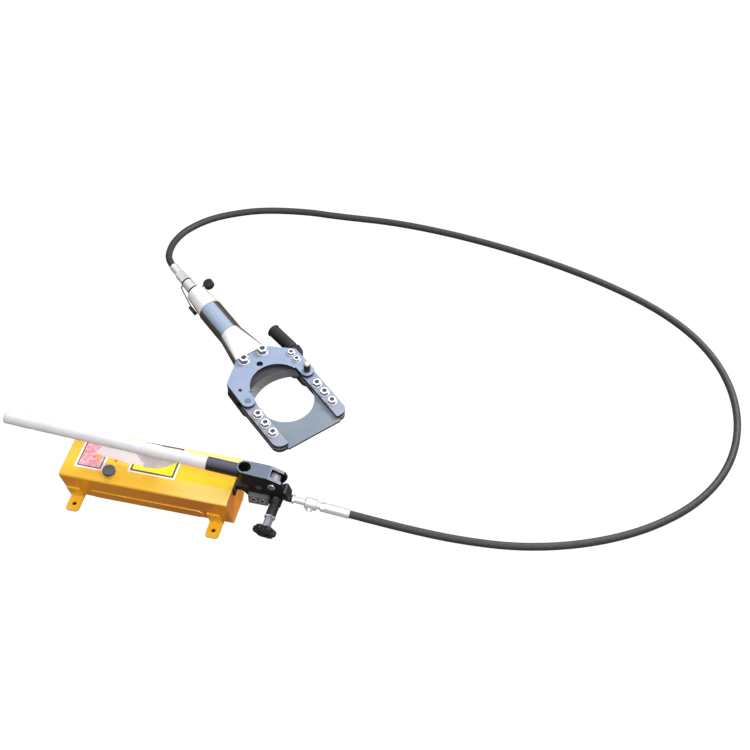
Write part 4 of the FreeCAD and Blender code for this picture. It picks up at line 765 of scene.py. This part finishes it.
def makeGrip(g, finish):
    near, far = headPlace(*g["near"]), headPlace(*g["far"])
    length = (far - near).length / mm
    radius, flange = g["radius"], g["flange"]
    profile = [(0.3, g["core"]), (0.3, radius - g["edge"]), (0.3 + g["edge"], radius)]
    ribRun = length - g["flangeLength"] - 2 * g["plainEnd"]
    pitch = ribRun / g["ribCount"]
    for rib in range(g["ribCount"]):
        base = g["plainEnd"] + rib * pitch
        for share, height in ((0, 0), (0.3, 0.6), (0.5, 1), (0.7, 0.6)):
            profile.append((base + share * pitch, radius + g["ribHeight"] * height))
    rim = length - g["flangeLength"]
    profile += [(rim - 1, radius), (rim, radius + 0.4), (rim + 0.4, flange - 1), (rim + 1.4, flange),
                (length - 1.6, flange), (length - 0.4, flange - 1), (length, flange - 2.4),
                (length + 0.1, 6), (length - 0.6, 4), (length - 0.6, 0.02)]
    grip = turned("ribbedGrip", profile, near, far - near, g["sides"], finish, "pump")
    coreLength = length - g["coreEnd"]
    bore = [(0.3, g["core"]), (coreLength, g["core"]), (coreLength, 0.02)]
    inner = turned("gripBore", bore, near, far - near, g["sides"], finish, "pump")
    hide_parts("grip_rubber")
    print("grip done")


ringSet = {
    "screwX": (216.5, 234.0), "screwZ": 83.0, "face": -23.0, "inner": 6.15, "middle": 7.4, "outer": 8.7,
    "rise": 0.35, "darkShare": 0.6, "sides": 40,
}


def makeRings(r):
    # machined seats round the two plugs of the valve block
    for index, x in enumerate(r["screwX"]):
        start = Vector((x + tankShift, r["face"], r["screwZ"])) * mm
        for name, inner, outer, rise, finish in (
                ("seatLight", r["inner"], r["middle"], r["rise"], "ringLight"),
                ("seatDark", r["middle"], r["outer"], r["rise"] * r["darkShare"], "ringDark")):
            profile = [(0, inner), (rise, inner), (rise, outer), (0, outer)]
            ring = turned(name + str(index), profile, start, Vector((0, -1, 0)), r["sides"],
                          made[finish], "pump")
    print("plug seats done")


flangeSet = {
    "gate": {"body": "gate", "level": 10.3, "inner": 8.3, "outer": 10.9, "rise": 1.6,
             "spots": detail["studs"]["gate_bolts"][2]},
    "rear": {"body": "pump", "level": 18.5, "inner": 9.2, "outer": 12.2, "rise": 1.6,
             "spots": detail["studs"]["rear_bolts"][2]},
    "grip": {"body": "pump", "level": 18.5, "inner": 6.3, "outer": 8.4, "rise": 1.2,
             "spots": detail["studs"]["grip_bolts"][2]},
    "bevel": 0.5, "sides": 36,
}


def makeFlanges(f):
    # the bright washers that the upper nuts stand on
    for name in ("gate", "rear", "grip"):
        row = f[name]
        profile = [(0, row["inner"]), (row["rise"], row["inner"]), (row["rise"], row["outer"] - f["bevel"]),
                   (row["rise"] - f["bevel"], row["outer"]), (0, row["outer"])]
        for index, (u, v) in enumerate(row["spots"]):
            start = headPlace(u, v, row["level"])
            ring = turned(name + "Flange" + str(index), profile, start, headW, f["sides"], made["nutTop"],
                          row["body"])
    print("nut flanges done")


springSet = {
    "start": -206.1, "end": -76.9, "seat": -75, "radius": 14.5, "wire": 1.6, "turns": 11, "stepsPerTurn": 40,
    "sides": 12, "keep": 0.1,
}


def makeSpring(s):
    # the return spring, which shortens between the piston and the gland as the ram comes forward
    rings = s["turns"] * s["stepsPerTurn"]
    points = []
    for ringIndex in range(rings + 1):
        share = ringIndex / rings
        turn = 2 * math.pi * s["turns"] * share
        along = s["start"] + (s["end"] - s["start"]) * share
        for side in range(s["sides"]):
            angle = 2 * math.pi * side / s["sides"]
            reach = s["radius"] + s["wire"] * math.cos(angle)
            points.append(headPlace(along + s["wire"] * math.sin(angle), reach * math.cos(turn),
                                    reach * math.sin(turn)))
    faces = gridFaces(rings + 1, s["sides"], True)
    faces.append(tuple(range(s["sides"])))
    faces.append(tuple(rings * s["sides"] + side for side in reversed(range(s["sides"]))))
    spring = meshPiece("returnSpring", points, faces, [made["spring_steel"]], "pump")
    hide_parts("return_spring")
    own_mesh(spring)
    print("return spring done")


footSet = {"x": 144.25, "y": 56.5, "radius": 6.0, "drop": 0.0001, "colour": (0.05, 0.022, 0.006, 1)}


def makeFootShade(f):
    # the floor under the feet is in shade, and shows through their holes
    shade = makeFinish("footShade", colour=f["colour"], roughness=0.9, shine=0.0)
    for sideX in (-1, 1):
        for sideY in (-1, 1):
            place = (sideX * f["x"] * mm, sideY * f["y"] * mm, -f["drop"])
            bpy.ops.mesh.primitive_circle_add(radius=f["radius"] * mm, fill_type="NGON", location=place)
            patch = bpy.context.object
            patch.name = "footShade"
            patch.data.materials.append(shade)
    print("foot shade done")


makeStage(studio)
makeCamera(cameraSet)
made = dressNodes()
paintDetails(detail)
makeHose(hoseSet, made["hose_rubber"])
makeWrap(wrapSet, made["film_white"])
makeFlap("looseFilmFront", flapSet, flapSet["front"])
makeFlap("looseFilmBack", flapSet, flapSet["back"])
makeLabels(labelSet)
makeGrip(gripSet, made["grip_rubber"])
makeRings(ringSet)
makeFlanges(flangeSet)
makeSpring(springSet)
makeFootShade(footSet)
